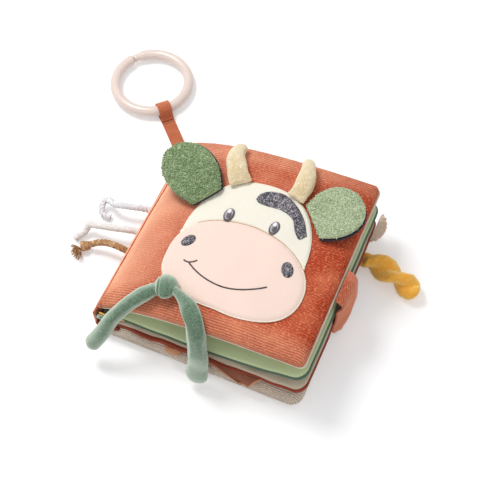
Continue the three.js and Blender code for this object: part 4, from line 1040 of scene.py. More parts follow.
def grow(name: str, host: bpy.types.Object, tree: bpy.types.NodeTree, values: dict) -> bpy.types.Object:
    """Runs a geometry tree on a host and keeps the result as a plain mesh.

    Args:
        name: the new piece's name.
        host: the mesh that the tree works on, removed afterwards.
        tree: the geometry tree.
        values: its inputs by name.
    Returns:
        the new piece.
    """
    modifier = host.modifiers.new(tree.name, "NODES")
    modifier.node_group = tree
    sockets = {item.name: item.identifier for item in tree.interface.items_tree if item.in_out == "INPUT"}
    for label, value in values.items():
        modifier[sockets[label]] = value
    host.update_tag()
    mesh = evaluated(host)
    mesh.name = name
    mesh.shade_smooth()
    piece = attach(name, mesh)
    bpy.data.objects.remove(host)
    return piece


def hide(piece: bpy.types.Object) -> bpy.types.Object:
    """Takes a helper out of the scene, for trees to use.

    Args:
        piece: the helper.
    Returns:
        the same helper.
    """
    for held in list(piece.users_collection):
        held.objects.unlink(piece)
    return piece


def fray_thread(name: str, length: float, radius: float, curl: float) -> bpy.types.Object:
    """A short bent thread that stands on the origin, hidden, for a tree to place.

    Args:
        name: the thread's name.
        length: how long it is.
        radius: half its thickness at the root.
        curl: the share of its length by which it bends aside.
    Returns:
        the hidden mesh.
    """
    slimmer, nudge = 0.55, 1e-6
    share = np.linspace(0, 1, 6)
    line = points_of(curl * length * share**2, 0.0, length * share)
    square = level_frames(line + np.array([0, nudge, 0]) * share[:, None])
    reach = (radius * (1 - slimmer * share**2))[:, None]
    return hide(loft(name, rings_about(line, square, reach, reach, circle(5))))


def loop_thread(name: str, reach: float, radius: float) -> bpy.types.Object:
    """A small standing loop of yarn, hidden, for a tree to place.

    Args:
        name: the thread's name.
        reach: the loop's radius.
        radius: half the yarn's thickness.
    Returns:
        the hidden mesh.
    """
    turn = np.linspace(-math.pi / 4, math.pi * 5 / 4, 7)
    line = points_of(reach * np.cos(turn), 0.0, reach * (0.5 + np.sin(turn)))
    wide = np.array([[radius]])
    return hide(loft(name, rings_about(line, level_frames(line), wide, wide, circle(4))))


@dataclass(frozen=True)
class Stitch:
    """One satin stitch, a low rounded thread across the line, and the way to the next."""

    across: float
    along: float
    high: float
    spacing: float

    def thread(self, name: str) -> bpy.types.Object:
        """The stitch as a hidden mesh.

        Args:
            name: the helper's name.
        Returns:
            the helper.
        """
        angle = circle(6)
        ends, fat = np.array([-1, -0.8, 0.0, 0.8, 1]), np.array([0.15, 0.75, 1, 0.75, 0.15])
        wide, high = (fat[:, None] * size / 2 for size in (self.along, self.high))
        rings = points_of(wide * np.cos(angle), (ends * self.across / 2)[:, None], high * np.sin(angle))
        return hide(loft(name, rings))


def deliver(piece: bpy.types.Object, body: str, finish: Finish | Gloss, slot: str, nodes: Sequence[str] = ()) -> bpy.types.Object:
    """Dresses a finished piece and puts it on its body.

    Args:
        piece: the mesh, in place.
        body: the CAD body it moves with.
        finish: what it is made of.
        slot: the record's material slot, not used.
        nodes: CAD nodes that it stands for.
    Returns:
        the piece.
    """
    if piece.data.materials:
        piece.data.materials[0] = finish.material()
    else:
        piece.data.materials.append(finish.material())
    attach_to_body(piece, body)
    if nodes:
        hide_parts(*nodes)
    LOG.info("%s rides on %s", piece.name, body)
    return piece


def sew(name: str, line: np.ndarray, lifts: np.ndarray, stitch: Stitch, body: str, finish: Finish, slot: str,
        nodes: Sequence[str] = (), closed: bool = False) -> None:
    """Sews a row of stitches along a line on a cloth.

    Args:
        name: the row's name.
        line: the points it follows.
        lifts: the cloth's normal at each of them.
        stitch: one stitch.
        body: the CAD body it moves with.
        finish: its yarn.
        slot: the record's material slot.
        nodes: CAD nodes that it stands for.
        closed: whether it comes back to its start.
    """
    count = len(line)
    edges = [(index, (index + 1) % count) for index in range(count if closed else count - 1)]
    mesh = bpy.data.meshes.new(f"{name}_path")
    mesh.from_pydata((line * MM).tolist(), edges, [])
    lift = mesh.attributes.new("lift", "FLOAT_VECTOR", "POINT")
    lift.data.foreach_set("vector", lifts.astype(np.float32).ravel())
    values = {"Spacing": stitch.spacing * MM, "Thread": stitch.thread(f"{name}_thread"),
              "Material": finish.material()}
    row = grow(name, attach(f"{name}_path", mesh), Trees.stitches(), values)
    deliver(row, body, finish, slot, nodes)


def coordinates(mesh: bpy.types.Mesh) -> np.ndarray:
    """The corners of a mesh.

    Args:
        mesh: any mesh.
    Returns:
        its points of shape (n, 3), in metres.
    """
    values = np.empty(3 * len(mesh.vertices), np.float32)
    mesh.vertices.foreach_get("co", values)
    return values.reshape(-1, 3).astype(float)


def set_coordinates(mesh: bpy.types.Mesh, points: np.ndarray) -> None:
    """Moves the corners of a mesh."""
    mesh.vertices.foreach_set("co", points.astype(np.float32).ravel())


def run_cloth(piece: bpy.types.Object, spare: float, pressure: float) -> None:
    """Blows a piece up as cloth for a few frames, without weight.

    Args:
        piece: the mesh, in place.
        spare: the share by which the cloth is cut larger than the shape.
        pressure: how hard the filling presses.
    """
    set_coordinates(piece.data, coordinates(piece.data) * CLOTH_SCALE)
    cloth = piece.modifiers.new("cloth", "CLOTH")
    settings = cloth.settings
    settings.quality = 4
    settings.mass = 0.3
    settings.tension_stiffness = settings.compression_stiffness = 14
    settings.shear_stiffness = 5
    settings.bending_stiffness = 0.6
    settings.air_damping = 4
    settings.use_pressure = True
    settings.uniform_pressure_force = pressure
    settings.shrink_min = settings.shrink_max = -spare
    settings.effector_weights.gravity = 0
    cloth.point_cache.frame_start, cloth.point_cache.frame_end = 1, CLOTH_FRAMES
    for step in range(1, CLOTH_FRAMES + 1):
        bpy.context.scene.frame_set(step)
    blown = coordinates(taken(piece)) / CLOTH_SCALE
    bpy.context.scene.frame_set(1)
    set_coordinates(piece.data, blown)


def puff(piece: bpy.types.Object, cap: float) -> None:
    """Makes a stuffed piece of cloth, wrinkled by its filling.

    Args:
        piece: the closed mesh, changed in place.
        cap: how far any corner may go, in millimetres.
    """
    spare, pressure = 0.06, 4.0
    remesh = piece.modifiers.new("remesh", "REMESH")
    remesh.mode = "VOXEL"
    remesh.voxel_size = CLOTH_FACE * MM
    even = piece.modifiers.new("even", "SMOOTH")
    even.factor, even.iterations = 0.5, 6
    rest = coordinates(taken(piece))
    run_cloth(piece, spare, pressure)
    move = coordinates(piece.data) - rest
    far = np.linalg.norm(move, axis=1, keepdims=True)
    placed = rest + move * np.minimum(1, cap * MM / np.maximum(far, 1e-9))
    placed[:, 2] = np.maximum(placed[:, 2], GAP * MM)
    set_coordinates(piece.data, placed)
    shape = piece.modifiers.new("subdivide", "SUBSURF")
    shape.levels = shape.render_levels = 1
    taken(piece).shade_smooth()
    LOG.info("%s: cloth run, at most %.2f mm", piece.name, min(cap, float(far.max()) / MM))


def soften(name: str, node: str, crumple: float, swell: float, body: str, finish: Finish | Gloss, slot: str) -> None:
    """Puts a rounder, crumpled copy in the place of a hidden CAD solid.

    Args:
        name: the new piece's name.
        node: the CAD node.
        crumple: how far its surface wanders, in millimetres.
        swell: the length of one swell, in millimetres.
        body: the CAD body it moves with.
        finish: what it is made of.
        slot: the record's material slot.
    """
    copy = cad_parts[node].data.copy()
    copy.name = name
    piece = attach(name, copy)
    weld = piece.modifiers.new("weld", "WELD")
    weld.merge_threshold = 0.01 * MM
    shape = piece.modifiers.new("subdivide", "SUBSURF")
    shape.subdivision_type = "SIMPLE"
    shape.levels = shape.render_levels = 2
    mesh = taken(piece)
    points = np.array([vertex.co for vertex in mesh.vertices]) / MM
    normals = np.array([vertex.normal for vertex in mesh.vertices])
    points -= normals * (crumple * (0.5 + 0.5 * ripple(points, swell, 3)))[:, None]
    set_coordinates(mesh, points * MM)
    mesh.shade_smooth()
    mesh.materials.clear()
    deliver(piece, body, finish, slot, [node])


@dataclass
class CoverArch:
    """The arched front cover: its line, its padded skin and the places on it."""

    spine_height: float = 22.5
    fore_height: float = 50
    corner: float = 4.5
    decay: float = 41
    roll: float = 1.5
    crown: float = 6
    crown_width: float = 18
    hinge_rim: float = 4.5
    seam_at: float = 6.4
    seam_depth: float = 2.1
    piping_at: float = 4.0
    piping_height: float = 1.3
    dent_rim: float = 22
    piping_half: float = 1.5
    seam_half: float = 0.9
    pucker: float = 0.28
    pucker_rim: float = 2.5
    pucker_end: Pair = (5, 12)
    hinge_pucker: float = 0.16
    hinge_band: Pair = (9, 5)
    wide_dent: float = 0.55
    small_dent: float = 0.26
    rest: float = 2
    bend: Bend = field(init=False)
    panel: Panel = field(init=False)

    def __post_init__(self) -> None:
        """Works out the arch from the sizes."""
        start = -SIDE + self.roll + THIN / 2
        low = self.spine_height - 2 * self.roll
        high = self.fore_height - 2 * self.roll
        full = 1 - math.exp(-(SIDE - start) / self.decay)

        def height(x: np.ndarray) -> np.ndarray:
            """Rises fast by the spine and ever more slowly after it."""
            return low + (high - low) * (1 - np.exp(-(x - start) / self.decay)) / full

        self.bend = Bend(height, start, SIDE)
        self.panel = Panel(Box(0, self.bend.length, -END, END), self.corner, self.roll, self.hinge_rim)

    def relief(self, s: np.ndarray, y: np.ndarray) -> np.ndarray:
        """The cloth's own unevenness: the sewn line by the spine, puckers at the seams, soft dents.

        Args:
            s: along the cover.
            y: across it.
        Returns:
            heights to add.
        """
        flat = points_of(s, y)
        rim = self.panel.edge(s, y, hinge=False)
        seam = self.piping_height * hill(s, self.piping_at, self.piping_half)
        seam = seam - self.seam_depth * hill(s, self.seam_at, self.seam_half)
        start, fade = self.pucker_end
        puckers = self.pucker * ripple(flat, 9, seed=4) * smooth(rim / self.pucker_rim)
        puckers = puckers * (1 - smooth((rim - start) / fade))
        hinge_puckers = self.hinge_pucker * ripple(flat, 6, seed=9) * hill(s, *self.hinge_band)
        dents = self.wide_dent * ripple(flat, 46, seed=7) + self.small_dent * ripple(flat, 19, seed=8)
        return seam + puckers + hinge_puckers + dents * smooth(rim / self.dent_rim)

    def swell(self, distance: np.ndarray | float) -> np.ndarray | float:
        """The height of the padding above the cover's line, by the distance from the edge."""
        return 2 * self.roll + self.crown * dome(distance, self.crown_width)

    def skin(self, s: np.ndarray, y: np.ndarray) -> np.ndarray:
        """The height of the cover's outer face above its line."""
        return self.swell(self.panel.edge(s, y)) + self.relief(s, y)

    def plain_skin(self, s: float, y: float) -> float:
        """The same height without the cloth's unevenness, as the solids have it."""
        return self.swell(self.panel.edge(s, y))

    def at(self, share: Pair) -> Pair:
        """A place given as shares of the cover."""
        return share[0] * self.bend.length, share[1] * 2 * END

    def above(self, share: Pair, extra: float) -> np.ndarray:
        """A point above the face, the least clearances and extra away."""
        s, y = self.at(share)
        return self.bend.place(s, y, self.plain_skin(s, y) + 2 * GAP + extra)

    def loose(self, share: Pair, extra: float = 0) -> np.ndarray:
        """A point above the face at which loose pieces rest."""
        return self.above(share, self.rest + extra)


def roll_half(radius: float, step: np.ndarray) -> np.ndarray:
    """Half the height of the rounded edge that a panel turns on."""
    return np.maximum(THIN, radius * dome(step, radius))


@dataclass
class FrontCover:
    """The padded cover with its lining, filling and crackling film."""

    arch: CoverArch
    cloth: float = 1.5
    lining: float = 0.8
    rim: float = 5
    lining_show: float = 1
    edge_round: float = 1.3
    body: str = "front_cover"

    def build(self) -> None:
        """Makes the cover's four layers and the stitches on them."""
        self.outer()
        self.inner()
        soften("cover_wadding", "front_cover_wadding", 0.2, 16, self.body, Finishes.wadding, "wadding")
        soften("cover_film", "front_cover_foil", 0.12, 5, self.body, Finishes.film, "crackle_film")
        self.topstitch()

    def outer(self) -> None:
        """Makes the corduroy, turned in round its edges."""
        arch = self.arch
        floor = self.lining + GAP
        box = Box(0, arch.bend.length - self.lining_show, -END, END)
        panel = Panel(box, arch.corner, arch.roll, arch.hinge_rim)
        s, y, nominal = panel.grid(190, 170)
        distance = panel.edge(s, y)
        skin = arch.swell(distance) + arch.relief(s, y)
        rounded = mix(0.45, 1, dome(panel.edge(s, y, hinge=False), self.edge_round))
        rounded = floor + (skin - floor) * rounded
        half = roll_half(arch.roll, nominal)
        rolled = arch.roll + half
        eased = mix(rolled.max(), rounded, smooth((nominal - arch.roll) / 1.2))
        top = np.where(nominal < arch.roll, np.minimum(rolled, rounded + 1), eased)
        under = mix(floor, arch.swell(distance) - self.cloth, smooth((distance - self.rim) / self.rim))
        bottom = np.where(nominal < 2 * arch.roll + THIN / 2, arch.roll - half, under)
        upper = arch.bend.place(s, y, np.maximum(top, bottom + THIN))
        cloth = slab("cover_corduroy", upper, arch.bend.place(s, y, bottom))
        deliver(cloth, self.body, Finishes.corduroy, "terracotta_corduroy", ["front_cover_cloth"])

    def inner(self) -> None:
        """Makes the lining, whose edge shows along the fore-edge."""
        arch = self.arch
        start = 2 * arch.roll + self.lining_show
        panel = Panel(Box(start, arch.bend.length, -END, END), arch.corner, arch.roll)
        s, y, _ = panel.grid(110, 110)
        sag = 0.16 * ripple(points_of(s, y), 26, 12) * smooth(panel.edge(s, y) / 8)
        lining = slab("cover_lining", arch.bend.place(s, y, self.lining + sag), arch.bend.place(s, y, sag))
        deliver(lining, self.body, Finishes.cream, "cream_cloth", ["front_cover_lining"])

    def topstitch(self) -> None:
        """Running stitches round the lining."""
        near, inset, sunk, long, short = 9, 3.0, -0.1, 60, 50
        far, reach = self.arch.bend.length - inset, END - inset
        s = np.concatenate([np.linspace(near, far, long), np.full(short, far), np.linspace(far, near, long)])
        y = np.concatenate([np.full(long, -reach), np.linspace(-reach, reach, short), np.full(long, reach)])
        line = self.arch.bend.place(s, y, np.full_like(s, sunk))
        stitch = Stitch(0.55, 2.1, 0.4, spacing=3.0)
        sew("lining_stitches", line, -self.arch.bend.normal(s), stitch, self.body, Finishes.pale_thread,
            "cream_cloth")


@dataclass
class Applique:
    """A flat shape of cloth on the cover, between a lower and an upper line."""

    arch: CoverArch
    start: float
    end: float
    low: Callable[[np.ndarray], np.ndarray]
    high: Callable[[np.ndarray], np.ndarray]
    base: float
    thickness: float
    edge: float = 0.5
    fullness: float = 2.5

    def stations(self, columns: int) -> np.ndarray:
        """Stations along it, crowded towards both ends."""
        angle = np.linspace(0, math.pi, columns)
        return self.start + (self.end - self.start) * (1 - np.cos(angle) * 0.9995) / 2

    def height(self, s: np.ndarray, y: np.ndarray) -> np.ndarray:
        """The height of the cloth under it."""
        return self.arch.skin(s, y) + self.base

    def build(self, name: str, columns: int, rows: int) -> bpy.types.Object:
        """Makes the closed shape.

        Args:
            name: the piece's name.
            columns: stations along it.
            rows: stations across it.
        Returns:
            the mesh.
        """
        s = self.stations(columns)
        share = crowded(0, 1, rows, 0.7)
        across = self.low(s)[:, None] + (self.high(s) - self.low(s))[:, None] * share[None]
        along = np.repeat(s[:, None], rows, axis=1)
        side = 2 * (s - self.start) / (self.end - self.start) - 1
        body = bulge(2 * share - 1, 2)[None] * bulge(side, 2)[:, None]
        lift = mix(self.edge, self.thickness, smooth(body * self.fullness))
        floor = self.height(along, across)
        place = self.arch.bend.place
        return slab(name, place(along, across, floor + lift), place(along, across, floor))

    def outline(self, columns: int, inset: float, lift: float) -> tuple[np.ndarray, np.ndarray]:
        """The shape's edge as a closed line with the cover's normals.

        Args:
            columns: stations along each side.
            inset: how far it lies inside the edge.
            lift: its height above the cloth under the shape.
        Returns:
            the line and the normals.
        """
        s = self.stations(columns)
        ring = np.concatenate([points_of(s, self.low(s)), points_of(s, self.high(s))[::-1]])[:, :2]
        ring = evenly(np.vstack([ring, ring[:1]]), 2 * columns)[:-1]
        ahead = np.roll(ring, -1, axis=0) - np.roll(ring, 1, axis=0)
        ahead /= np.maximum(np.linalg.norm(ahead, axis=1, keepdims=True), 1e-9)
        s, y = (ring + np.stack([-ahead[:, 1], ahead[:, 0]], axis=1) * inset).T
        return self.arch.bend.place(s, y, self.height(s, y) + lift), self.arch.bend.normal(s)


@dataclass
class Face:
    """The sewn-on face: forehead, muzzle, patch, eyes, nostrils and smile, all plain shapes."""

    arch: CoverArch
    muzzle_share: Pair = (0.566, -0.175)
    muzzle_half: Pair = (48.3, 33)
    muzzle_thickness: float = 2.0
    droop: float = 6.3
    forehead_share: Pair = (0.551, -0.082)
    forehead_half: float = 43.6
    forehead_height: float = 55
    forehead_thickness: float = 1.5
    eye_shares: Pair = (0.436, 0.646)
    eye_half: Pair = (3.5, 5.5)
    nostril_shares: Pair = (0.322, 0.776)
    nostril_height: float = -0.11
    nostril_half: Pair = (4.3, 5.2)
    nostril_lean: float = 1.6
    smile_share: Pair = (0.55, -0.222)
    smile_half: float = 27
    smile_depth: float = 10
    tick_half: float = 4.2
    body: str = "front_cover"

    def rounding(self, share: np.ndarray) -> np.ndarray:
        """The face's outline, squarer towards the spine."""
        return np.where(share < 0, bulge(share, 2.5), bulge(share, 2.2))

    def muzzle_edge(self, s: np.ndarray, side: int) -> np.ndarray:
        """The muzzle's lower edge (side -1) or upper edge (side 1) at s.

        Args:
            s: stations along the cover.
            side: which edge.
        Returns:
            places across the cover.
        """
        centre_s, centre_y = self.arch.at(self.muzzle_share)
        share = np.clip((s - centre_s) / self.muzzle_half[0], -1, 1)
        middle = centre_y - self.droop * np.maximum(0, share)
        return middle + side * self.muzzle_half[1] * self.rounding(share)

    def forehead_top(self, s: np.ndarray) -> np.ndarray:
        """The forehead's outer edge.

        Args:
            s: stations along the cover.
        Returns:
            places across the cover.
        """
        centre_s, centre_y = self.arch.at(self.forehead_share)
        top = centre_y + self.forehead_height * self.rounding((s - centre_s) / self.forehead_half)
        return np.maximum(top, self.muzzle_edge(s, 1) + 1.4)

    def build(self) -> None:
        """Makes the face from the cover outwards."""
        centre_s, _ = self.arch.at(self.muzzle_share)
        half = self.muzzle_half[0]
        muzzle = Applique(self.arch, centre_s - half, centre_s + half, lambda s: self.muzzle_edge(s, -1),
                          lambda s: self.muzzle_edge(s, 1), LAID, self.muzzle_thickness)
        cloth = muzzle.build("muzzle_cloth", 150, 60)
        deliver(cloth, self.body, Finishes.pink, "pink_cloth", ["face_muzzle"])
        brow_s, _ = self.arch.at(self.forehead_share)
        half = self.forehead_half
        forehead = Applique(self.arch, brow_s - half, brow_s + half, lambda s: self.muzzle_edge(s, 1) + 0.5,
                            self.forehead_top, LAID, self.forehead_thickness)
        cloth = forehead.build("forehead_cloth", 140, 50)
        deliver(cloth, self.body, Finishes.ivory, "ivory_velour", ["face_forehead"])
        pale, brown = Finishes.pale_thread, Finishes.tan_thread
        for name, shape, inset, lift, across, spacing, finish in (
            ("muzzle_border", muzzle, 0.9, 0.8, 2.8, 0.75, pale),
            ("forehead_border", forehead, 0.7, 0.7, 1.9, 0.6, pale),
            ("muzzle_seam", muzzle, 2.9, 1.6, 0.45, 0.4, brown),
        ):
            line, lifts = shape.outline(150, inset, lift)
            stitch = Stitch(across, spacing * 1.25, 0.55, spacing)
            sew(name, line, lifts, stitch, self.body, finish, "cream_cloth", closed=True)
        self.edge_line(centre_s)
        self.patch()
        self.eyes()
        self.nostrils()
        self.smile()

    def edge_line(self, centre: float) -> None:
        """The fine brown line sewn along the top of the muzzle.

        Args:
            centre: the muzzle's middle along the cover.
        """
        before, after, lift = 37, 41, 0.95
        s = np.linspace(centre - before, centre + after, 120)
        y = self.muzzle_edge(s, 1) + 0.2
        line = self.arch.bend.place(s, y, self.arch.skin(s, y) + lift)
        stitch = Stitch(0.7, 0.75, 0.6, spacing=0.55)
        sew("muzzle_edge_line", line, self.arch.bend.normal(s), stitch, self.body, Finishes.tan_thread,
            "pink_cloth")

    def patch(self) -> None:
        """The dark marking on the forehead: a plain bent band."""
        first, last = (0.512, 0.2), (0.79, 0.09)
        upper = (first, (0.522, 0.236), (0.56, 0.262), (0.625, 0.265), (0.69, 0.228), (0.75, 0.165), last)
        lower = (first, (0.53, 0.184), (0.57, 0.178), (0.64, 0.178), (0.7, 0.15), (0.735, 0.09),
                 (0.765, 0.06), last)

        def line(shares: Sequence[Pair]) -> Callable[[np.ndarray], np.ndarray]:
            """A smooth line through places on the cover."""
            dense = centripetal([(*self.arch.at(share), 0) for share in shares], 160)
            return lambda s: np.interp(s, dense[:, 0], dense[:, 1])

        ends = (self.arch.at(first)[0], self.arch.at(last)[0])
        shape = Applique(self.arch, *ends, line(lower), line(upper), 2 * LAID + self.forehead_thickness, 0.5,
                         edge=0.25, fullness=3)
        marking = shape.build("face_marking", 90, 30)
        deliver(marking, self.body, Finishes.patch, "charcoal_velour", ["face_patch"])

    def oval(self, name: str, centre: Pair, half: Pair, base: float, thickness: float,
             lean: float = 0) -> bpy.types.Object:
        """A leaning oval on the face.

        Args:
            name: the piece's name.
            centre: its middle, as s and y.
            half: half its width and half its height.
            base: its height above the cover.
            thickness: how thick it is.
            lean: how far it rises over half its width.
        Returns:
            the mesh.
        """

        def side(sign: int) -> Callable[[np.ndarray], np.ndarray]:
            """The lower or the upper line."""
            return lambda s: (centre[1] + lean * (s - centre[0]) / half[0]
                              + sign * half[1] * bulge((s - centre[0]) / half[0], 2))

        ends = (centre[0] - half[0], centre[0] + half[0])
        shape = Applique(self.arch, *ends, side(-1), side(1), base, thickness, edge=0.2, fullness=1.4)
        return shape.build(name, 40, 24)

    def eyes(self) -> None:
        """Plain oval eyes, each with a dark pupil and a light spot."""
        grey, base = Finishes.grey_thread, 2 * LAID + self.forehead_thickness
        for side, share in zip(("left", "right"), self.eye_shares):
            s = share * self.arch.bend.length
            y = float(self.muzzle_edge(np.array([s - self.eye_half[0], s]), 1).max()) + 0.9 * self.eye_half[1]
            for part, centre, half, lift, thickness, finish, slot in (
                ("thread", (s, y), self.eye_half, 0, 0.8, grey, "grey_thread"),
                ("iris", (s - 0.1, y + 0.2), (2.4, 4.3), LAID + 0.7, 0.4, Finishes.iris, "grey_thread"),
                ("pupil", (s + 0.5, y - 1.1), (1.5, 2.5), 2 * LAID + 1.05, 0.3, grey, "grey_thread"),
                ("spark", (s - 0.2, y + 2.1), (1.2, 1.7), 3 * LAID + 1.2, 0.3, Finishes.shine, "cream_cloth"),
            ):
                oval = self.oval(f"eye_{side}_{part}", centre, half, base + lift, thickness)
                deliver(oval, self.body, finish, slot, [f"eye_{side}"] if part == "thread" else ())

    def nostrils(self) -> None:
        """Two plain oval nostrils of satin stitch."""
        base = 2 * LAID + self.muzzle_thickness
        leans = (self.nostril_lean, -self.nostril_lean)
        for side, share, lean, size in zip(("left", "right"), self.nostril_shares, leans, (0.86, 1)):
            half = (self.nostril_half[0], self.nostril_half[1] * size)
            centre = self.arch.at((share, self.nostril_height))
            nostril = self.oval(f"nostril_{side}_thread", centre, half, base, 0.6, lean)
            deliver(nostril, self.body, Finishes.patch, "grey_thread", [f"nostril_{side}"])

    def smile(self) -> None:
        """The smile: one line of satin stitch with a short stroke across its near end."""
        middle, level = self.arch.at(self.smile_share)
        s = np.linspace(middle - self.smile_half, middle + self.smile_half, 120)
        y = level - self.smile_depth * (1 - ((s - middle) / self.smile_half) ** 2)
        along = np.linspace(-self.tick_half, self.tick_half, 24)
        tick_s = middle - self.smile_half + along
        tick_y = level + 0.6 + 1.6 * (along / self.tick_half) ** 2 + 0.25 * along
        for name, s, y, nodes in (("smile_line", s, y, ["smile"]), ("smile_tick", tick_s, tick_y, [])):
            height = self.arch.skin(s, y) + 2 * LAID + self.muzzle_thickness + 0.1
            sew(name, self.arch.bend.place(s, y, height), self.arch.bend.normal(s),
                Stitch(1.0, 0.55, 0.7, spacing=0.42), self.body, Finishes.dark_thread, "grey_thread", nodes)


@dataclass
class Ear:
    """One ear: a plush front on a smooth back."""

    arch: CoverArch
    name: str
    length: float
    width: float
    root: tuple[Pair, Pair]
    tip: Pair
    rise: float
    settle: float
    base_share: float
    plush: Finish
    cup: float = 2.2
    back: float = 1.6
    front: float = 3.4
    inset: float = 0.5
    shift: float = -0.8
    widest: float = 0.46
    edge: float = 0.7
    yarn: Pair = (1.05, 0.4)

    def half(self, share: np.ndarray) -> np.ndarray:
        """Half the ear's width by share of its length.

        Args:
            share: from the sewn line at 0 to the tip at 1.
        Returns:
            half widths in mm.
        """
        rise = mix(self.base_share, 1, np.sin(np.clip(share / self.widest, 0, 1) * math.pi / 2))
        fall = bulge((share - self.widest) / (1 - self.widest), 2.1)
        return self.width / 2 * np.where(share < self.widest, rise, fall)

    def layer(self, inset: float, floor: float, thickness: float, seed: int) -> tuple[np.ndarray, np.ndarray]:
        """One layer in the ear's own frame.

        Args:
            inset: how far it stays inside the outline.
            floor: its height above the ear's underside.
            thickness: how thick it is.
            seed: picks its unevenness.
        Returns:
            the upper and the lower grid.
        """
        share = crowded(0, 0.998, 70, 0.6)
        across = crowded(-1, 1, 56, 0.7)
        half = np.maximum(self.half(share) - inset, inset / 2 + GAP)[:, None]
        x = half * across[None]
        y = np.clip(share * self.length, inset / 2, self.length - inset)[:, None]
        rise = floor + self.cup * (x / (self.width / 2)) ** 2
        ends = np.minimum(1, 2.4 * np.minimum(share + 0.2, 1 - share))[:, None]
        body = np.minimum(1, 1.25 * np.sqrt((1 - across[None] ** 2) * ends))
        lift = mix(min(thickness, self.edge), thickness, body)
        lift = lift + 0.3 * ripple(points_of(x, y), 15, seed) * body
        return points_of(x, y, rise + lift), points_of(x, y, rise)

    def build(self) -> None:
        """Places both layers on the cover and gives the front its tufts."""
        first, second = (self.arch.loose(place, -self.settle) for place in self.root)
        middle = (first + second) / 2
        across = unit(second - first)
        along = self.arch.loose(self.tip, self.rise) - middle
        along = unit(along - across * (along @ across))
        up = np.cross(across, along)
        up = -up if up[2] < 0 else up
        basis = np.stack([np.cross(along, up), along, up])
        aside = np.array([self.shift, 0, 0])
        upper, lower = self.layer(0, 0, self.back, 21)
        back = slab(f"{self.name}_velour", upper @ basis + middle, lower @ basis + middle)
        deliver(back, self.name, Finishes.charcoal, "charcoal_velour", [f"{self.name}_back"])
        upper, lower = ((grid + aside) @ basis + middle
                        for grid in self.layer(self.inset, self.back + LAID, self.front, 22))
        front = slab(f"{self.name}_plush", upper, lower)
        deliver(front, self.name, self.plush, "green_teddy", [f"{self.name}_front"])
        values = {"Density": 1.1e6, "Seed": 5, "Lean": 0.75, "Smallest": 0.65,
                  "Thread": loop_thread(f"{self.name}_loop", *self.yarn), "Material": self.plush.material()}
        tufts = grow(f"{self.name}_tufts", sheet_of(f"{self.name}_field", upper), Trees.tufts(), values)
        deliver(tufts, self.name, self.plush, "green_teddy")


@dataclass
class Limb:
    """A stuffed limb along a line, its ends rounded, with a seam down each side."""

    line: np.ndarray
    half_width: Callable[[np.ndarray], np.ndarray]
    half_thickness: Callable[[np.ndarray], np.ndarray]
    reference: Triple
    end_round: float
    start_round: float = 0
    seam: float = 0.05
    crease: float = 0.25
    seed: int = 31
    sides: int = 64
    seam_turn: float = 0
    swell: float = 11
    pinch: float = 0
    seam_width: float = 0.008
    blunt: float = 0.12

    def rings(self) -> np.ndarray:
        """The rings of points round its line.

        Returns:
            points of shape (stations, sides, 3).
        """
        line = self.line
        length = run_length(line)
        share = np.linspace(0, 1, len(line))
        scale = dome((1 - share) * length + self.blunt, self.end_round)
        if self.start_round:
            scale = scale * dome(share * length + self.blunt, self.start_round)
        angle = circle(self.sides)
        seam = hill(np.cos(angle - math.radians(self.seam_turn)), 1, self.seam_width)
        thickness = self.half_thickness(share)
        rings = rings_about(line, frames(line, self.reference), (self.half_width(share) * scale)[:, None],
                            (thickness * scale)[:, None], angle)
        dent = 1 + self.crease / max(float(thickness.max()), 1) * ripple(rings, self.swell, self.seed)
        run = share[:, None] * length
        folds = self.pinch * np.exp(-run / 9) * np.sin(4 * angle[None] + 0.5 * run)
        shrink = (dent + folds) * (1 - self.seam * seam)[None]
        return line[:, None] + (rings - line[:, None]) * shrink[..., None]


def run_length(line: np.ndarray) -> float:
    """How long a line is."""
    return float(runs(line)[-1])


def even(size: float) -> Callable[[np.ndarray], np.ndarray]:
    """The same size all along a limb."""
    return lambda share: np.full_like(share, size)


@dataclass
class Horns:
    """Two small stuffed horns above the forehead."""

    arch: CoverArch
    half: float = 4.5
    tip_radius: float = 3
    puff_most: float = 0.5
    hem_ring: int = 4
    hem_sides: tuple[int, int] = (4, 29)

    def build(self) -> None:
        """Makes both horns."""
        left = ((0.421, 0.25, -0.55), (0.39, 0.3, -0.1), (0.352, 0.395, 0), (0.352, 0.47, -0.3))
        right = ((0.678, 0.25, -0.55), (0.69, 0.3, -0.1), (0.68, 0.41, 0), (0.655, 0.478, -0.2))
        self.horn("left_horn", left, (17, 14.8, 8.4), 1.1, 41)
        self.horn("right_horn", right, (14, 13.6, 8), 0.85, 42)

    def horn(self, name: str, places: Sequence[Triple], widths: Triple, settle: float, seed: int) -> None:
        """One horn through its places on the face.

        Args:
            name: the horn's body and node.
            places: shares of the cover, each with a rise in shares of the half thickness.
            widths: its width at the base, the middle and the tip.
            settle: how far it sinks into the cloth's give.
            seed: picks its dents.
        """
        rest = self.half + GAP - settle
        route = [self.arch.loose((s, y), rest + rise * self.half) for s, y, rise in places]
        base, middle, tip = widths
        limb = Limb(
            centripetal(route, 70),
            lambda share: mix(mix(base, middle, smooth(2 * share)), tip, smooth(2 * share - 1)) / 2,
            lambda share: self.half * mix(0.34, 1, smooth(share / 0.3)) * mix(1, 0.72, share),
            (0, 0, 1), self.tip_radius + tip / 4, seam=0.07, crease=0.2, seed=seed, seam_turn=15,
        )
        rings = limb.rings()
        horn = loft(f"{name}_cloth", rings)
        puff(horn, self.puff_most)
        deliver(horn, name, Finishes.horn, "horn_cloth", [name])
        hem = rings[self.hem_ring, slice(*self.hem_sides)]
        lifts = unit(hem - limb.line[self.hem_ring])
        sew(f"{name}_hem", hem + 0.1 * lifts, lifts, Stitch(0.5, 0.9, 0.5, spacing=0.8), name,
            Finishes.hem_thread, "horn_cloth")


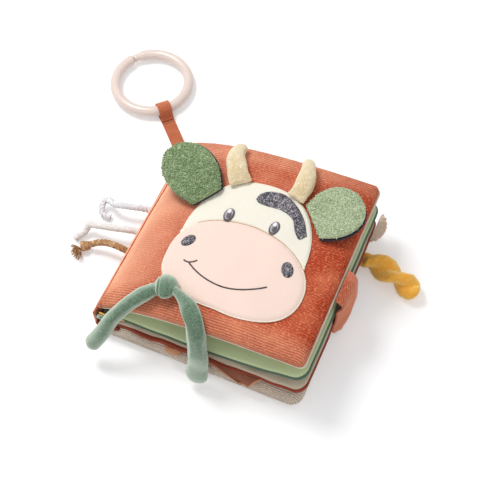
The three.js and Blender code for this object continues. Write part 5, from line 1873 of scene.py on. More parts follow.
@dataclass
class GrassSprig:
    """The knotted sprig of grass in the corner of the mouth: a knot and two stuffed blades."""

    arch: CoverArch
    knot_share: Pair = (0.347, -0.387)
    knot_half: Triple = (7.8, 8.2, 4.8)
    front: float = -END - 8.3
    left_size: Triple = (10.2, 9, 11.4)
    right_size: Triple = (12, 7, 17)
    left_room: float = 9.4
    lift: float = 1.5
    chin: Pair = (0.46, -0.437)
    puff_most: float = 0.8

    def hanging(self, shares: Sequence[Triple], thickness: float) -> list[np.ndarray]:
        """Points in front of the book's front edge."""
        front = self.front - thickness / 2
        return [np.array([x * 2 * SIDE, front - out * thickness, z * 50]) for x, out, z in shares]

    def build(self) -> None:
        """Makes the knot and both blades."""
        arch, rise = self.arch, self.knot_half[2]
        s, y = arch.at(self.knot_share)
        height = arch.plain_skin(s, y) + 2 * GAP + arch.rest + rise

        def beside(share: Pair) -> np.ndarray:
            """A point at the knot's own height."""
            return arch.bend.place(*arch.at(share), height)

        self.knot(beside(self.knot_share))
        thick = self.left_room
        left = [beside((0.322, -0.4017)), arch.above((0.245, -0.475), thick / 2 + self.lift),
                *self.hanging(((-0.36, -0.42, 0.76), (-0.395, 0.45, 0.56), (-0.445, 1.3, 0.3)), thick)]
        self.blade("grass_blade_left", left, self.left_size, (0.78, 0.2), 51, 60)
        thick = self.right_size[1]
        right = [beside((0.38, -0.387)), arch.above(self.chin, GAP + 2 + thick / 2),
                 arch.above((0.51, -0.492), thick / 2 + self.lift + rise / 5),
                 *self.hanging(((0.038, -0.25, 0.72), (0.043, 0.15, 0.42), (0.043, 0.85, 0.14)), thick)]
        self.blade("grass_blade_right", right, self.right_size, (0.5, 0.25), 52, 130)

    def blade(self, name: str, route: list[np.ndarray], size: Triple, taper: Pair, seed: int,
              seam_turn: float) -> None:
        """One blade along its route.

        Args:
            name: the blade's body and node.
            route: the points it follows.
            size: its width, thickness and width at the tip.
            taper: its width's share at the knot and the share of its length at which it is full.
            seed: picks its dents.
            seam_turn: where round it the seam lies, in degrees.
        """
        width, thickness, tip = size
        limb = Limb(
            centripetal(route, 110),
            lambda share: mix(width, tip, smooth(share)) / 2 * mix(taper[0], 1, smooth(share / taper[1])),
            lambda share: thickness / 2 * mix(taper[0], 1, smooth(share / taper[1])),
            tuple(unit(np.array([0, -0.35, 1.0]))), tip / 2, start_round=taper[0] * thickness / 2,
            seam=0.13, crease=0.16, seed=seed, seam_turn=seam_turn, swell=20, pinch=0.05,
        )
        piece = loft(f"{name}_velour", limb.rings())
        puff(piece, self.puff_most)
        deliver(piece, name, Finishes.velour, "sage_velour", [name])

    def knot(self, centre: np.ndarray) -> None:
        """The knot: a wrapped lump with two turns of cloth across it.

        Args:
            centre: its middle.
        """
        polar = np.linspace(0.02, math.pi - 0.02, 60)
        a, b = np.meshgrid(circle(90), polar)
        direction = points_of(np.sin(b) * np.cos(a), np.sin(b) * np.sin(a), np.cos(b))
        lane = direction @ np.array([0.9, 0.36, 0.25]) + 0.16 * direction[..., 1] ** 2
        folds = 0.17 * hill(lane, -0.3, 0.08) + 0.08 * hill(lane, 0.62, 0.05)
        swell = 1 - folds + 0.07 * smooth((lane + 0.4) / 0.25) - 0.06 * smooth((-0.45 - lane) / 0.2)
        swell = swell + 0.015 * ripple(direction * 8, 9, 61)
        knot = loft("grass_knot_velour", centre + direction * swell[..., None] * np.array(self.knot_half))
        deliver(knot, "front_cover", Finishes.velour, "sage_velour", ["grass_knot"])


@dataclass
class Leaf:
    """One crackling leaf: upper and lower cloth with wadding and film between them."""

    number: int
    hinge_height: float
    flat_height: float
    lift: float
    front_step: float
    top_step: float
    fore_step: float
    upper: Finish
    lower: Finish
    slots: tuple[str, str]
    wave: float
    show: float
    red_curl: float = 0
    setback: float = 8
    roll: float = 1.6
    crown: float = 3
    crown_width: float = 14
    hinge_rise: float = 16
    flat_after: float = 20
    lift_start: float = 0.3 * 2 * SIDE - SIDE
    lift_power: float = 2.2
    lower_rim: float = 2
    lower_thickness: float = 1.2
    rim: float = 4
    wave_rim: float = 9
    wave_start: Pair = (10, 20)
    curl_start: Pair = (16, 14)
    curl_end: Pair = (80, 40)
    curl_deep: float = 5
    curl_back: float = 0.8
    seam_room: Pair = (2.3, 0.9)
    dent: float = 0.22
    dent_rim: float = 6
    thinnest: float = 0.2
    lower_round: Pair = (0.35, 0.9)
    page_round: Pair = (0.4, 1.0)
    bend: Bend = field(init=False)
    box: Box = field(init=False)

    def __post_init__(self) -> None:
        """Works out the leaf's line from its sizes."""
        start = self.setback - SIDE - self.roll

        def height(x: np.ndarray) -> np.ndarray:
            """Rises from the binding, lies flat, and lifts towards the fore-edge.

            Args:
                x: places across the book.
            Returns:
                the leaf's heights.
            """
            far = np.maximum(0, x - self.lift_start) / (SIDE - self.lift_start)
            low = mix(self.hinge_height - self.roll, self.flat_height, smooth((x - start) / self.flat_after))
            return low + self.lift * far**self.lift_power

        self.bend = Bend(height, start, SIDE + self.fore_step)
        self.box = Box(0, self.bend.length, -END - self.front_step, END - self.top_step)

    def stations(self, box: Box) -> tuple:
        """Places over one cloth of the leaf.

        Args:
            box: the cloth's outline.
        Returns:
            s, y, the column's own s, the distances from any edge and from a free edge, and the waves.
        """
        panel = Panel(box, CORNER, self.roll)
        s, y, nominal = panel.grid(120, 110)
        rim = panel.edge(s, y, hinge=False)
        wave = self.wave * ripple(points_of(s, y), 20, 70 + self.number)
        start, ease = self.wave_start
        wave = wave * (1 - smooth(rim / self.wave_rim)) * smooth((s - start) / ease)
        return s, y, nominal, panel.edge(s, y), rim, wave

    def build(self) -> None:
        """Makes the leaf's four layers."""
        body = f"leaf_{self.number}"
        self.under(body)
        self.page(body)
        soften(f"{body}_filling", f"{body}_wadding", 0.12, 14, body, Finishes.wadding, "wadding")
        soften(f"{body}_film", f"{body}_foil", 0.1, 5, body, Finishes.film, "crackle_film")

    def under(self, body: str) -> None:
        """The lower cloth, which shows past the page and may curl up in front.

        Args:
            body: the leaf's body.
        """
        s, y, nominal, distance, rim, wave = self.stations(self.box)
        half = roll_half(self.roll, nominal)
        eased = mix(self.lower_rim, self.lower_thickness, smooth((distance - self.rim) / self.rim))
        top = np.where(nominal < 2 * self.roll + THIN / 2, self.roll + half, eased)
        bottom = np.where(nominal < self.roll, self.roll - half, 0)
        least, round_over = self.lower_round
        top = bottom + (top - bottom) * mix(least, 1, dome(rim, round_over))
        (start, ease), (end, fade) = self.curl_start, self.curl_end
        curl = self.red_curl * (1 - smooth((s - end) / fade)) * smooth((s - start) / ease)
        curl = curl * (1 - smooth((y - self.box.y0) / self.curl_deep))
        y, wave = y - self.curl_back * curl, wave + curl
        faces = (self.bend.place(s, y, high + wave) for high in (top, bottom))
        lower = slab(f"{body}_under_cloth", *faces)
        deliver(lower, body, self.lower, self.slots[1], [f"{body}_lower"])

    def page(self, body: str) -> None:
        """The upper cloth, crowned by its wadding.

        Args:
            body: the leaf's body.
        """
        box, seam = self.box, 2 * self.roll
        rolls, room = self.seam_room
        start = rolls * self.roll + room
        page = Box(start, box.x1 - self.show, box.y0 + self.show, box.y1 - self.show)
        s, y, _, distance, rim, wave = self.stations(page)
        swell = self.crown * dome(distance, self.crown_width) * smooth((s - seam) / self.hinge_rise)
        dents = self.dent * ripple(points_of(s, y), 20, 80 + self.number) * smooth(distance / self.dent_rim)
        skin = seam + swell + dents
        ease = smooth((distance - self.rim) / self.rim)
        low = mix(self.lower_rim + LAID, seam + swell - self.lower_thickness, ease)
        least, round_over = self.page_round
        skin = low + np.maximum(self.thinnest, skin - low) * mix(least, 1, dome(rim, round_over))
        faces = (self.bend.place(s, y, high + wave) for high in (skin, low))
        upper = slab(f"{body}_page_cloth", *faces)
        deliver(upper, body, self.upper, self.slots[0], [f"{body}_upper"])


@dataclass
class BackCover:
    """The back cover, which lies on the floor, with the wrap of the bound edge."""

    thickness: float = 13
    seam_height: float = 6.5
    allowance: float = 1.35
    rim: float = 4
    crown_width: float = 8
    lining: float = 1.2
    cloth: float = 1.5
    box: Box = Box(-END, 76.3, -81.3, END)
    wall: float = 1.6
    top: float = 20.1
    foot: float = 3.4
    foot_height: float = 0.9
    wrap_ends: Pair = (-77, 62)
    side_dent: float = 0.12
    lining_dent: float = 0.15
    crown_start: Pair = (7, 16)
    lining_round: Pair = (0.4, 1.1)
    wrap_dent: float = 0.12
    body: str = "book_back"

    def build(self) -> None:
        """Makes the back's cloth, lining and filling, and the spine's wrap."""
        x, y, _ = Panel(self.box, CORNER, CORNER).grid(150, 140)
        flat, far = points_of(x, y), 99
        from_spine = x - self.box.x0
        from_end = np.minimum(np.minimum(y - self.box.y0, self.box.y1 - y), CORNER)
        corner = CORNER - np.hypot(CORNER - np.minimum(from_spine, CORNER), CORNER - from_end)
        corner = np.where(from_spine < CORNER, np.maximum(corner, 0), far)
        distance = np.minimum(Panel(self.box, CORNER, CORNER).edge(x, y), corner)
        rise = dome(distance, self.crown_width)
        ease = smooth((distance - self.rim) / self.rim)
        outer = (self.seam_height - self.allowance) * (1 - rise)
        inner = mix(self.seam_height - LAID / 2, outer + self.cloth, ease)
        sides = outer + self.side_dent * ripple(flat, 8, seed=91) * np.clip(outer / 2, 0, 1)
        cloth = slab("back_corduroy", points_of(x, y, inner), points_of(x, y, np.maximum(sides, 0)))
        deliver(cloth, self.body, Finishes.beige_corduroy, "beige_corduroy", ["back_cover_cloth"])
        start = self.seam_height + LAID / 2 + self.lining
        near, reach = self.crown_start
        skin = start + (self.thickness - start) * rise * smooth((from_spine - near) / reach)
        under = mix(self.seam_height + LAID / 2, skin - self.lining, ease)
        least, round_over = self.lining_round
        skin = skin + self.lining_dent * ripple(flat, 22, seed=92) * ease
        skin = under + (skin - under) * mix(least, 1, dome(distance, round_over))
        lining = slab("back_page_cloth", points_of(x, y, skin), points_of(x, y, under))
        deliver(lining, self.body, Finishes.beige_corduroy, "beige_cloth", ["back_cover_lining"])
        soften("back_filling", "back_cover_wadding", 0.15, 18, self.body, Finishes.wadding, "wadding")
        self.wrap()
        self.bound_ends()

    def wrap(self) -> None:
        """The corduroy wall of the bound edge, tucked under the back."""
        wall, top, foot = self.wall, self.top, self.foot
        turn = np.linspace(0, math.pi / 2, 10)
        over = np.linspace(0, math.pi, 10)
        straight = np.linspace(foot, top - wall / 2, 14)[1:-1]
        outer = points_of(foot * (1 - np.cos(turn)), foot * (1 - np.sin(turn)))[::-1]
        cap = points_of(wall / 2 * (1 - np.cos(over)), top - wall / 2 * (1 - np.sin(over)))
        drop = foot - self.foot_height
        inner = points_of(foot - (foot - wall) * np.cos(turn), foot - drop * np.sin(turn))
        x, z, _ = np.vstack([outer, points_of(0.0, straight), cap, inner]).T
        rings = points_of(x - SIDE, crowded(*self.wrap_ends, 70, 0.5)[:, None], z)
        outward = (x < wall / 2) & (z > foot)
        rings[..., 0] -= self.wrap_dent * (1 + ripple(rings, 13, seed=93)) * outward
        wrap = loft("spine_corduroy", rings)
        deliver(wrap, self.body, Finishes.corduroy, "terracotta_corduroy", ["spine_wrap"])

    def bound_ends(self) -> None:
        """The ends of the leaves' binding that show at the front of the spine."""
        for name, route, thickness, finish, slot in (
            ("bound_end_sage",
             ((-72.6, -75.4, 12.6), (-71, -76.6, 15.6), (-65, -77, 17.2), (-57, -76.4, 18)),
             1.5, Finishes.velour, "sage_velour"),
            ("bound_end_yellow",
             ((-71.5, -74.6, 17.6), (-66, -75.4, 19), (-59, -75.2, 19.6), (-52, -74.4, 20)),
             0.7, Finishes.yellow, "yellow_cloth"),
            ("bound_end_red",
             ((-73, -77.4, 6.8), (-70.5, -78.6, 9), (-64, -78.4, 10), (-55, -77.8, 10.6)),
             1.3, Finishes.red, "red_cloth"),
        ):
            size = even(thickness)
            limb = Limb(centripetal(route, 40), size, size, (0, 0, 1), thickness, thickness, crease=0.15,
                        sides=24)
            deliver(loft(name, limb.rings()), self.body, finish, slot)


@dataclass
class ClosureStrap:
    """The strap over the fore-edge with its two hook-and-loop patches."""

    arch: CoverArch
    width: float = 25
    tip_width: float = 20
    thickness: float = 2.6
    bulge_out: float = 8.5
    tip_out: float = 5.6
    tip_height: float = 4
    place: float = -0.055
    drift: float = 7.0
    tuck: float = 5.2
    rows: int = 30
    body: str = "closure_strap"

    def build(self) -> None:
        """Makes the strap, its edge stitches and the patches."""
        arch = self.arch
        root = arch.bend.place(arch.bend.length, 0.0, arch.roll)
        quarter = self.thickness / 4
        far = SIDE + self.bulge_out
        tip = SIDE + self.tip_out
        turn = SIDE + 0.7 * self.bulge_out
        route = [(root[0] + GAP + quarter, 0, root[2]), (turn, 0, root[2] - 3), (far, 0, 36), (far, 0, 22.5),
                 (tip + quarter, 0, 10), (tip, 0, self.tip_height)]
        line = centripetal(route, 90)
        share = np.linspace(0, 1, len(line))
        heading = unit(np.gradient(line, axis=0))
        outward = points_of(-heading[:, 2], 0.0, heading[:, 0])
        fade = np.maximum(0, (share - 0.82) / 0.18)
        half = mix(self.width, self.tip_width, smooth(share)) / 2 * mix(1, 0.45, fade**2)
        reach = smooth((share - 0.14) / 0.2) * (1 - 0.6 * smooth((share - 0.7) / 0.3))

        def face(
            name: str, low: np.ndarray, high: np.ndarray, lift: float
        ) -> tuple[bpy.types.Object, np.ndarray]:
            """One face of the folded strap, between two lines along it.

            Args:
                name: the piece's name.
                low: its lower line, in shares of the half width.
                high: its upper line, the same way.
                lift: how far it lies above the strap.
            Returns:
                the mesh and its outer grid.
            """
            across = low[:, None] + (high - low)[:, None] * crowded(0, 1, self.rows)[None]
            base = np.repeat(line[:, None], self.rows, axis=1)
            base[..., 1] = self.place * 2 * END - self.drift * share[:, None] + half[:, None] * across
            from_edge = np.minimum(across - low[:, None], high[:, None] - across) * half[:, None]
            swell = mix(quarter, 2 * quarter, np.minimum(1, 2 * (1 - across**2))) * mix(1, 0.7, fade)[:, None]
            rise = swell * mix(0.3, 1, dome(from_edge, 1.4)) + lift * smooth(share * 5)[:, None]
            tucked = self.tuck * smooth((-across - 0.1) / 0.9) * reach[:, None]
            base = base - outward[:, None] * tucked[..., None]
            outer = base + outward[:, None] * (rise + 0.12 * ripple(base, 10, 101))[..., None]
            return slab(name, outer, base - outward[:, None] * quarter), outer

        fold = mix(0.45, -0.55, smooth(1.15 * share))
        one = np.ones_like(share)
        wide, outer = face("strap_corduroy", -one, np.minimum(one, fold + 0.12), 0.0)
        deliver(wide, self.body, Finishes.strap, "terracotta_corduroy", ["closure_strap"])
        lapped, _ = face("strap_lap", fold, one, 0.45)
        deliver(lapped, self.body, Finishes.twill, "terracotta_corduroy")
        kept = slice(4, -4)
        for name, row in (("strap_stitches_front", 3), ("strap_stitches_back", 26)):
            path = outer[kept, row] + outward[kept] * 0.12
            sew(name, path, outward[kept], Stitch(0.5, 1.9, 0.4, spacing=2.7), self.body, Finishes.tan_thread,
                "terracotta_corduroy")
        for node, body in (("strap_hook_patch", self.body), ("strap_loop_patch", "book_back")):
            soften(f"{node}_tape", node, 0.02, 9, body, Finishes.beige, "cream_cloth")


@dataclass
class LeafTrims:
    """The tags and the ruffle sewn into the edges of the second leaf."""

    leaf: Leaf
    seam: float = 3.2
    loop_size: Triple = (12, 5.0, 2.8)
    tag_width: Pair = (42, 6.5)
    tag_slant: float = 0.8
    tag_out: float = 4.4
    tag_drop: float = 6.0
    tag_curl: float = 0.8
    waves: int = 7
    ruffle_start: float = 0.325 * 2 * END
    ruffle_length: float = 24
    ruffle_reach: float = 7.6
    ruffle_lift: float = 2.2
    body: str = "leaf_2"

    def build(self) -> None:
        """Makes the folded loop, the slanting tag and the ruffle."""
        self.loop()
        self.tag()
        self.ruffle()

    def loop(self) -> None:
        """The loop of tan ribbon: a flat band that turns round in front."""
        box = self.leaf.box
        start = self.leaf.bend.place(0.33 * box.x1, box.y0 - GAP, self.seam / 2)
        width, depth, thick = self.loop_size
        turn = np.linspace(-math.pi / 2, math.pi / 2, 14)
        out = np.concatenate([[0], thick / 2 - depth - thick / 2 * np.cos(turn), [0]])
        up = np.concatenate([[-thick / 2], thick / 2 * np.sin(turn), [thick / 2]])
        x = np.linspace(0, width, 16)[:, None]
        full = mix(0.45, 1, dome(np.minimum(x, width - x), 2.5))
        rings = start + points_of(x, out * full, up * (1 + 0.15 * np.sin(x)))
        deliver(loft("page_loop_ribbon", rings), self.body, Finishes.tag, "tan_cloth", ["page_tag_loop"])

    def tag(self) -> None:
        """The tag: a ribbon folded to a slanting point, in a darker tan as painted shade, with paler edges."""
        box = self.leaf.box
        share, column = np.meshgrid(np.linspace(0, 1, 30), np.linspace(0, 1, 36), indexing="ij")
        width = mix(*self.tag_width, share**0.8)
        along = 0.51 * box.x1 + self.tag_slant * (self.tag_width[0] - width) + width * column
        out = GAP + self.tag_out * np.sin(share * math.pi / 2)
        rise = self.seam / 2 - self.tag_drop * share**2
        lean = math.pi / 2 * share
        rolled = self.tag_curl * (hill(column, 0.1, 0.08) + hill(column, 0.9, 0.08))
        curl = share * (rolled - 0.7 * hill(column, 0.45, 0.14))

        def face(side: float) -> np.ndarray:
            """One side of the folded tag.

            Args:
                side: 1 above, -1 below, 0 the middle.
            Returns:
                its grid of points.
            """
            lift = side * 0.55
            front = box.y0 - out - curl - lift * np.sin(lean) * 0.8
            return self.leaf.bend.place(along, front, rise + curl + lift * np.maximum(0.5, np.cos(lean)))

        tag = slab("page_tag_ribbon", face(1), face(-1))
        deliver(tag, self.body, Finishes.tan, "tan_cloth", ["page_tag_fold"])
        middle = face(0)
        for name, edge in (("near", middle[:, 0]), ("far", middle[:, -1]), ("end", middle[-1])):
            limb = Limb(evenly(edge, 60), even(1.0), even(0.8), (0.3, 0.2, 1), 0.8, 0.8, crease=0.1, sides=12)
            deliver(loft(f"page_tag_edge_{name}", limb.rings()), self.body, Finishes.tag, "tan_cloth")

    def ruffle(self) -> None:
        """The wavy peach trim at the fore-edge."""
        row, deep = np.meshgrid(np.linspace(0, 1, 150), np.linspace(0, 1, 14), indexing="ij")
        turn = row * self.waves * FULL
        arc = np.maximum(0, np.sin(row * math.pi)) ** 0.62
        reach = self.ruffle_reach * deep * mix(0.2, 1, arc) * (1 + 0.03 * np.sin(turn))
        along = self.ruffle_start + self.ruffle_length * row
        seam = np.full_like(row, self.seam / 2)
        point = self.leaf.bend.place(np.full_like(row, self.leaf.box.x1), along, seam)
        lift = deep * np.sin(turn) + self.ruffle_lift * deep
        base = point + points_of(GAP + reach, 0.35 * deep * np.cos(turn), lift)
        side = np.array([0.0, 0.0, 0.45])
        ruffle = slab("peach_ruffle_cloth", base + side, base - side)
        deliver(ruffle, self.body, Finishes.peach, "peach_cloth", ["peach_ruffle"])


@dataclass
class Tail:
    """The twisted yellow tail: two plump strands turned round each other."""

    root_x: float = 76.6
    height: float = 8.2
    turns: float = 1.1
    away: float = 4.3
    fat: float = 4.6
    end_round: float = 7.2
    puff_most: float = 0.9

    def build(self) -> None:
        """Makes the twisted tail."""
        shares = ((0, 0.272, 0.87), (0.05, 0.27, 0.96), (0.115, 0.258, 1), (0.18, 0.236, 1),
                  (0.245, 0.215, 1), (0.295, 0.228, 1))
        route = [(self.root_x + x * 2 * SIDE, y * 2 * END, z * self.height) for x, y, z in shares]
        line = centripetal(route, 130)
        share = np.linspace(0, 1, len(line))
        scale = dome((1 - share) * run_length(line) + 0.15, self.end_round)
        scale = scale * mix(0.62, 1, smooth(share / 0.14))
        angle = circle(56)
        local = angle[None] - self.turns * FULL * share[:, None]
        strand = np.sqrt(self.fat**2 - (self.away * np.sin(local)) ** 2)
        reach = self.away * np.abs(np.cos(local)) + strand
        reach = reach * (1 + 0.03 * np.sin(share * 60)[:, None]) * scale[:, None]
        rings = rings_about(line, frames(line, (0, 0, 1)), reach, reach, angle)
        rings[..., 2] = np.maximum(rings[..., 2], GAP)
        tail = loft("tail_velour", rings)
        puff(tail, self.puff_most)
        deliver(tail, "yellow_tail", Finishes.yellow, "yellow_cloth", ["yellow_tail"])


@dataclass
class RibbonAndRing:
    """The ribbon at the corner, its loop and the open ring."""

    width: float = 10
    thickness: float = 1.2
    root_width: float = 4
    root_height: float = 5.5
    root_length: float = 13.4
    root_shift: float = 3.2
    length: float = 30.5
    hinge_height: float = 2.2
    ring_radius: float = 28.9
    tube: float = 4
    clearance: float = 0.9
    loop_reach: float = 1.9
    notch_degrees: float = 147
    notch: float = 0.7
    pin: float = 6.5
    pin_radius: float = 3.0
    ring_ends: float = 0.8

    def build(self) -> None:
        """Makes the ribbon's three stretches and the ring."""
        out = unit(np.array([-0.7, 0.714, 0]))
        side = -np.cross([0, 0, 1], out)
        up = np.array([0, 0, 1.0])
        corner = np.array([CORNER - END, END - CORNER, 0])
        start = corner + out * (CORNER + GAP) - side * self.root_shift

        def band(
            origin: np.ndarray, stations: np.ndarray, width: np.ndarray, height: np.ndarray, seed: int
        ) -> tuple:
            """The two faces of a flat stretch of ribbon.

            Args:
                origin: the middle of its near end.
                stations: distances along it.
                width: its width at each.
                height: its height at each.
                seed: picks its dents.
            Returns:
                the upper and the lower grid.
            """
            across = np.linspace(-1, 1, 26)
            sideways = across[None, :, None] * width[:, None, None] / 2
            base = origin + out * stations[:, None, None] + side * sideways
            base[..., 2] = height[:, None]
            half = self.thickness / 2 * mix(0.55, 1, dome(1 - np.abs(across), 0.2))
            rise = 0.12 * ripple(base, 9, seed)
            return base + up * (half[None] + rise)[..., None], base - up * (half[None] - rise)[..., None]

        stations = np.linspace(0, self.root_length, 30)
        width = mix(self.root_width, self.width, smooth(stations / (0.7 * self.root_length)))
        height = mix(self.root_height, self.hinge_height, smooth(stations / self.root_length))
        root = slab("ribbon_root_cloth", *band(start, stations, width, height, 121))
        deliver(root, "book_back", Finishes.ribbon, "terracotta_ribbon", ["ribbon_root"])
        hinge = start + out * (self.root_length + GAP)
        stations = np.linspace(0, self.length, 60)
        width, height = np.full(60, self.width), np.full(60, self.hinge_height)
        hanging = slab("ribbon_cloth", *band(hinge, stations, width, height, 122))
        deliver(hanging, "hang_ribbon", Finishes.ribbon, "terracotta_ribbon", ["hang_ribbon"])
        stitch = hinge + out * (self.length + 2 * GAP)
        self.loop(stitch, out, side)
        self.ring(stitch, out)
        inset, reach, lift = 1.3, 4.4, 0.25
        line = hinge + out * (self.length - inset) + side * np.linspace(-reach, reach, 20)[:, None]
        line[:, 2] = self.hinge_height + self.thickness / 2 + lift
        sew("ribbon_stitches", line, np.tile(up, (20, 1)), Stitch(0.6, 1.1, 0.5, spacing=1.25), "hang_ribbon",
            Finishes.tan, "terracotta_ribbon")

    def loop(self, stitch: np.ndarray, out: np.ndarray, side: np.ndarray) -> None:
        """The ribbon's loop round the ring: one band that goes over and back under.

        Args:
            stitch: the middle of the stitch line.
            out: the ribbon's heading.
            side: the way across it.
        """
        inner = self.tube + self.clearance
        middle = inner + self.thickness / 2
        height = inner + self.thickness
        reach = self.loop_reach * inner
        over = [(0.4, self.hinge_height + self.thickness / 2), (0.2 * reach, self.hinge_height + 2.2),
                (0.5 * reach, height + middle * 0.72), (0.78 * reach, height + middle * 0.98)]
        turn = np.linspace(math.pi / 2, -math.pi / 2, 26)
        around = [(reach + middle * math.cos(t), height + middle * math.sin(t)) for t in turn]
        under = [(0.7 * reach, 0.75), (0.4 * reach, 0.85),
                 (0.4, self.hinge_height - self.thickness / 2 + 0.1)]
        profile = centripetal([(x, 0, z) for x, z in over + around + under], 110)[:, [0, 2]]
        heading = unit(np.gradient(profile, axis=0))
        normal = np.stack([-heading[:, 1], heading[:, 0]], axis=1)
        across = np.linspace(-self.width / 2, self.width / 2, 22)

        def face(lift: float) -> np.ndarray:
            """One face of the band.

            Args:
                lift: how far it lies off the band's middle.
            Returns:
                its grid of points.
            """
            line = profile + normal * lift
            grid = stitch * np.array([1, 1, 0]) + out * line[:, None, :1] + side * across[None, :, None]
            grid[..., 2] = np.maximum(line[:, None, 1], 0.15)
            return grid

        piece = slab("ribbon_loop_cloth", face(0.5), face(-0.5))
        deliver(piece, "ribbon_loop", Finishes.ribbon, "terracotta_ribbon", ["ribbon_loop"])

    def ring(self, stitch: np.ndarray, out: np.ndarray) -> None:
        """The open ring: a round bar with a notch, one end slimmer where it clips in.

        Args:
            stitch: the middle of the ribbon's stitch line.
            out: the ribbon's heading.
        """
        inner = self.tube + self.clearance
        centre = stitch + out * (self.loop_reach * inner + self.ring_radius)
        centre[2] = inner + self.thickness
        half = self.notch / self.ring_radius / 2
        first = math.radians(self.notch_degrees) + half
        last = math.radians(self.notch_degrees) + FULL - half
        bar = np.linspace(first, last, 200)
        run, left = (bar - first) * self.ring_radius, (last - bar) * self.ring_radius
        ends = dome(run + GAP, self.ring_ends) * dome(left + GAP, self.ring_ends)
        radius = (mix(self.tube, self.pin_radius, smooth(self.pin - left + 0.5)) * ends)[:, None]
        radial = points_of(np.cos(bar), np.sin(bar))
        square = (radial, points_of(np.zeros_like(bar), 0.0, 1.0))
        rings = rings_about(centre + radial * self.ring_radius, square, radius, radius, circle(36))
        deliver(loft("ring_plastic", rings), "hang_ring", Finishes.blush, "blush_plastic", ["hang_ring"])


@dataclass
class SpineCords:
    """The three cords at the spine. Their points are those of the solids."""

    radius: float = 2.3
    exit_x: float = -75.3
    white: tuple = (
        (0, 16.2, 11), (-4, 16, 11.2), (-9.7, 14, 13), (-16.3, 12.3, 13.2), (-23, 11.1, 12.7),
        (-28.6, 10.9, 10.8), (-32.8, 12.7, 9.4), (-35.9, 13.9, 8.2), (-38.4, 12.4, 7), (-38.6, 8.6, 5.6),
        (-36.9, 5, 4.2), (-33.9, 3.4, 3), (-29.6, 3.8, 2.4),
    )
    cream: tuple = (
        (0, -3.8, 11), (-4.5, -4.1, 11.3), (-11.7, -6.6, 13), (-19.5, -8.6, 13), (-27.1, -9.6, 12),
        (-34, -10.4, 10.5), (-38.6, -10.6, 8.8), (-39.6, -12.8, 6.2), (-40.6, -15.4, 4.4),
        (-43.8, -18.9, 3), (-44.9, -22.2, 2.4),
    )
    brown: tuple = (
        (0, -20.8, 11), (-4.5, -20.8, 11.2), (-12.7, -20.6, 12), (-20, -20.8, 11), (-25.6, -21.8, 9),
        (-30.9, -23.95, 6.45),
    )
    knot: Triple = (34.6, -25.8, 4.6)
    knot_size: Triple = (0.82, 0.82, 1.15)
    knot_rope: float = 1.9
    fray_heading: Triple = (-0.56, -0.83, -0.12)
    fray_start: float = 3.0
    fray_radius: float = 1.7
    floor: float = 0.2
    body: str = "book_back"

    def build(self) -> None:
        """Makes the cords, the knot and the frayed end."""
        self.cord("white", self.white, 9.5, 0.36, Finishes.white, "white_cord")
        self.cord("cream", self.cream, 12.0, 0.16, Finishes.off_white, "off_white_cord")
        out, y, z = self.knot
        centre = np.array([self.exit_x - out, y, z])
        pieces = [self.end_knot(centre), self.fray(centre)]
        self.cord("brown", self.brown, 9.0, 0.34, Finishes.brown, "brown_cord")

    def cord(
        self, name: str, route: tuple, pitch: float, depth: float, finish: Finish, slot: str,
    ) -> None:
        """One cord along its route. Its length is worked out but not kept.

        Args:
            name: its colour.
            route: its points, from where it leaves the spine.
            pitch: the length of one turn of its strands.
            depth: the share of the radius that the grooves take.
            finish: its yarn.
            slot: the record's material slot.
        """
        line = centripetal([(self.exit_x + x, y, z) for x, y, z in route], 150)
        piece = rope(f"{name}_cord_rope", line, self.radius, pitch, depth)
        deliver(piece, self.body, finish, slot, [f"cord_{name}"])
        run_length(line) * MM

    def end_knot(self, centre: np.ndarray) -> bpy.types.Object:
        """The overhand knot: a trefoil of rope.

        Args:
            centre: its middle.
        Returns:
            the piece.
        """
        turn = circle(150)
        x, y = np.sin(turn) + 2 * np.sin(2 * turn), np.cos(turn) - 2 * np.cos(2 * turn)
        line = centre + points_of(x, y, -np.sin(3 * turn)) * np.array(self.knot_size)
        piece = rope("brown_knot_rope", np.vstack([line, line[:3]]), self.knot_rope, 11, 0.18)
        return deliver(piece, self.body, Finishes.brown, "brown_cord", ["knot_brown"])

    def fray(self, centre: np.ndarray) -> bpy.types.Object:
        """The frayed threads after the knot, spread over a small cap.

        Args:
            centre: the knot's middle.
        Returns:
            the piece.
        """
        heading = unit(np.array(self.fray_heading))
        across = np.cross(heading, [0, 0, 1])
        up = np.cross(across, heading)
        a, b = np.meshgrid(np.linspace(0, FULL, 16), np.linspace(0.05, 1.0, 8))
        spread = points_of(np.sin(b) * np.cos(a), np.sin(b) * np.sin(a), np.cos(b))
        cap = centre + heading * self.fray_start + spread @ np.array([across, up, heading]) * self.fray_radius
        thread = fray_thread("fray_thread", 7.6, 0.42, 0.12)
        values = {"Density": 9.0e6, "Seed": 11, "Lean": 0.12, "Smallest": 0.75, "Thread": thread,
                  "Material": Finishes.brown.material()}
        tuft = grow("brown_frayed_end", sheet_of("fray_field", cap[:, ::-1]), Trees.tufts(), values)
        points = coordinates(tuft.data)
        points[:, 2] = np.maximum(points[:, 2], self.floor * MM)
        set_coordinates(tuft.data, points)
        return deliver(tuft, self.body, Finishes.brown, "brown_cord", ["tuft_brown"])


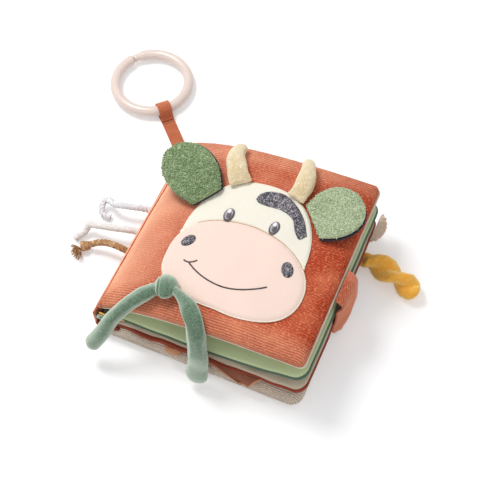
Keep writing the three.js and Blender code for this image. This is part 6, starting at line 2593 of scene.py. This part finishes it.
@dataclass
class Studio:
    """The white floor, the lights and the camera of the photograph."""

    azimuth: float = 22.98
    elevation: float = 59.39
    distance: float = 725.1
    focal_px: float = 1008.26
    frame_px: float = 500
    sensor: float = 36
    target: Triple = (-1.06, 19.62, 0)
    lit: Triple = (0, 0, 20)
    floor_half: float = 4.0
    floor_glow: float = 0.27
    world_light: float = 0.58

    def build(self) -> None:
        """Makes the floor, the world, the lamps and the camera."""
        self.camera()
        self.floor()
        self.world()
        self.lamp("window", (-380, 150, 690), size=300, power=3.4)
        self.lamp("fill", (120, -560, 460), size=520, power=0.55)
        bpy.context.scene.view_settings.view_transform = "Standard"

    def camera(self) -> None:
        """The camera that the photograph's edges were fitted to."""
        a, e = math.radians(self.azimuth), math.radians(self.elevation)
        back = Vector((math.sin(a) * math.cos(e), -math.cos(a) * math.cos(e), math.sin(e)))
        data = bpy.data.cameras.new("camera")
        data.sensor_width = self.sensor
        data.lens = self.focal_px / self.frame_px * self.sensor
        data.clip_start, data.clip_end = 0.01, 20
        camera = attach("camera", data)
        camera.location = (Vector(self.target) + back * self.distance) * MM
        camera.rotation_mode = "QUATERNION"
        camera.rotation_quaternion = (-back).to_track_quat("-Z", "Y")
        bpy.context.scene.camera = camera

    def floor(self) -> None:
        """A plain white floor that keeps the object's shadow."""
        size = self.floor_half
        mesh = bpy.data.meshes.new("floor")
        corners = [(-size, -size, 0), (size, -size, 0), (size, size, 0), (-size, size, 0)]
        mesh.from_pydata(corners, [], [(0, 1, 2, 3)])
        made, sketch, shader = new_material("white_floor")
        sketch.feed(shader, {
            "Base Color": (0.86, 0.86, 0.87, 1), "Roughness": 0.9, "Specular IOR Level": 0.0,
            "Emission Color": (1, 1, 1, 1),
            "Emission Strength": sketch.times(sketch.seen(), self.floor_glow)})
        mesh.materials.append(made)
        attach("floor", mesh)

    def world(self) -> None:
        """Soft light all round, and white where the camera sees past the floor."""
        world = bpy.data.worlds.new("studio")
        bpy.context.scene.world = world
        world.use_nodes = True
        sketch = Sketch(world.node_tree)
        nodes = world.node_tree.nodes
        white = sketch.add("ShaderNodeBackground", {"Color": (1, 1, 1, 1), "Strength": 1.0})
        soft = nodes["Background"]
        sketch.feed(soft, {"Color": (1, 1, 1, 1), "Strength": self.world_light})
        joins = {0: sketch.seen(), 1: soft.outputs[0], 2: white.outputs[0]}
        both = sketch.add("ShaderNodeMixShader", joins)
        sketch.feed(nodes["World Output"], {"Surface": both.outputs[0]})

    def lamp(self, name: str, place: Triple, size: float, power: float) -> None:
        """A soft box that points at the book.

        Args:
            name: the lamp's name.
            place: where it stands.
            size: how wide it is.
            power: how strong it is, in watts.
        """
        data = bpy.data.lights.new(name, "AREA")
        data.shape = "DISK"
        data.size = size * MM
        data.energy = power
        lamp = attach(name, data)
        lamp.location = Vector(place) * MM
        lamp.rotation_mode = "QUATERNION"
        lamp.rotation_quaternion = (Vector(self.lit) - Vector(place)).to_track_quat("-Z", "Y")


def main() -> None:
    """Builds the studio and the book, sub-assembly by sub-assembly."""
    logging.basicConfig(level=logging.INFO, format="%(name)s: %(message)s")
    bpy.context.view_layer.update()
    arch = CoverArch()
    first = Leaf(1, 16.5, 19.8, 14, 2, 2.5, 2.2, Finishes.green, Finishes.dark_sage,
                 ("pale_green_cloth", "dark_sage_cloth"), wave=0.4, show=0.6)
    second = Leaf(2, 11, 13.3, 4.2, 4, 3.5, 2.8, Finishes.beige, Finishes.red,
                  ("beige_cloth", "red_cloth"), wave=1.2, show=1.0, red_curl=2.2)
    left_ear = Ear(arch, "left_ear", 49, 38, ((0.272, 0.08), (0.355, 0.198)), (0.03, 0.36), 26, 0.7, 0.6,
                   Finishes.boucle_painted_shade)
    right_ear = Ear(arch, "right_ear", 36, 39, ((0.853, 0.09), (0.74, 0.232)), (0.9, 0.38), 4, 2.35, 0.7,
                    Finishes.teddy)
    for assembly in (
        Studio(), SpineCords(), FrontCover(arch), Face(arch), left_ear, right_ear, Horns(arch),
        GrassSprig(arch), first, second, BackCover(), ClosureStrap(arch), LeafTrims(second), Tail(),
        RibbonAndRing(),
    ):
        assembly.build()


if __name__ == "__main__":
    main()
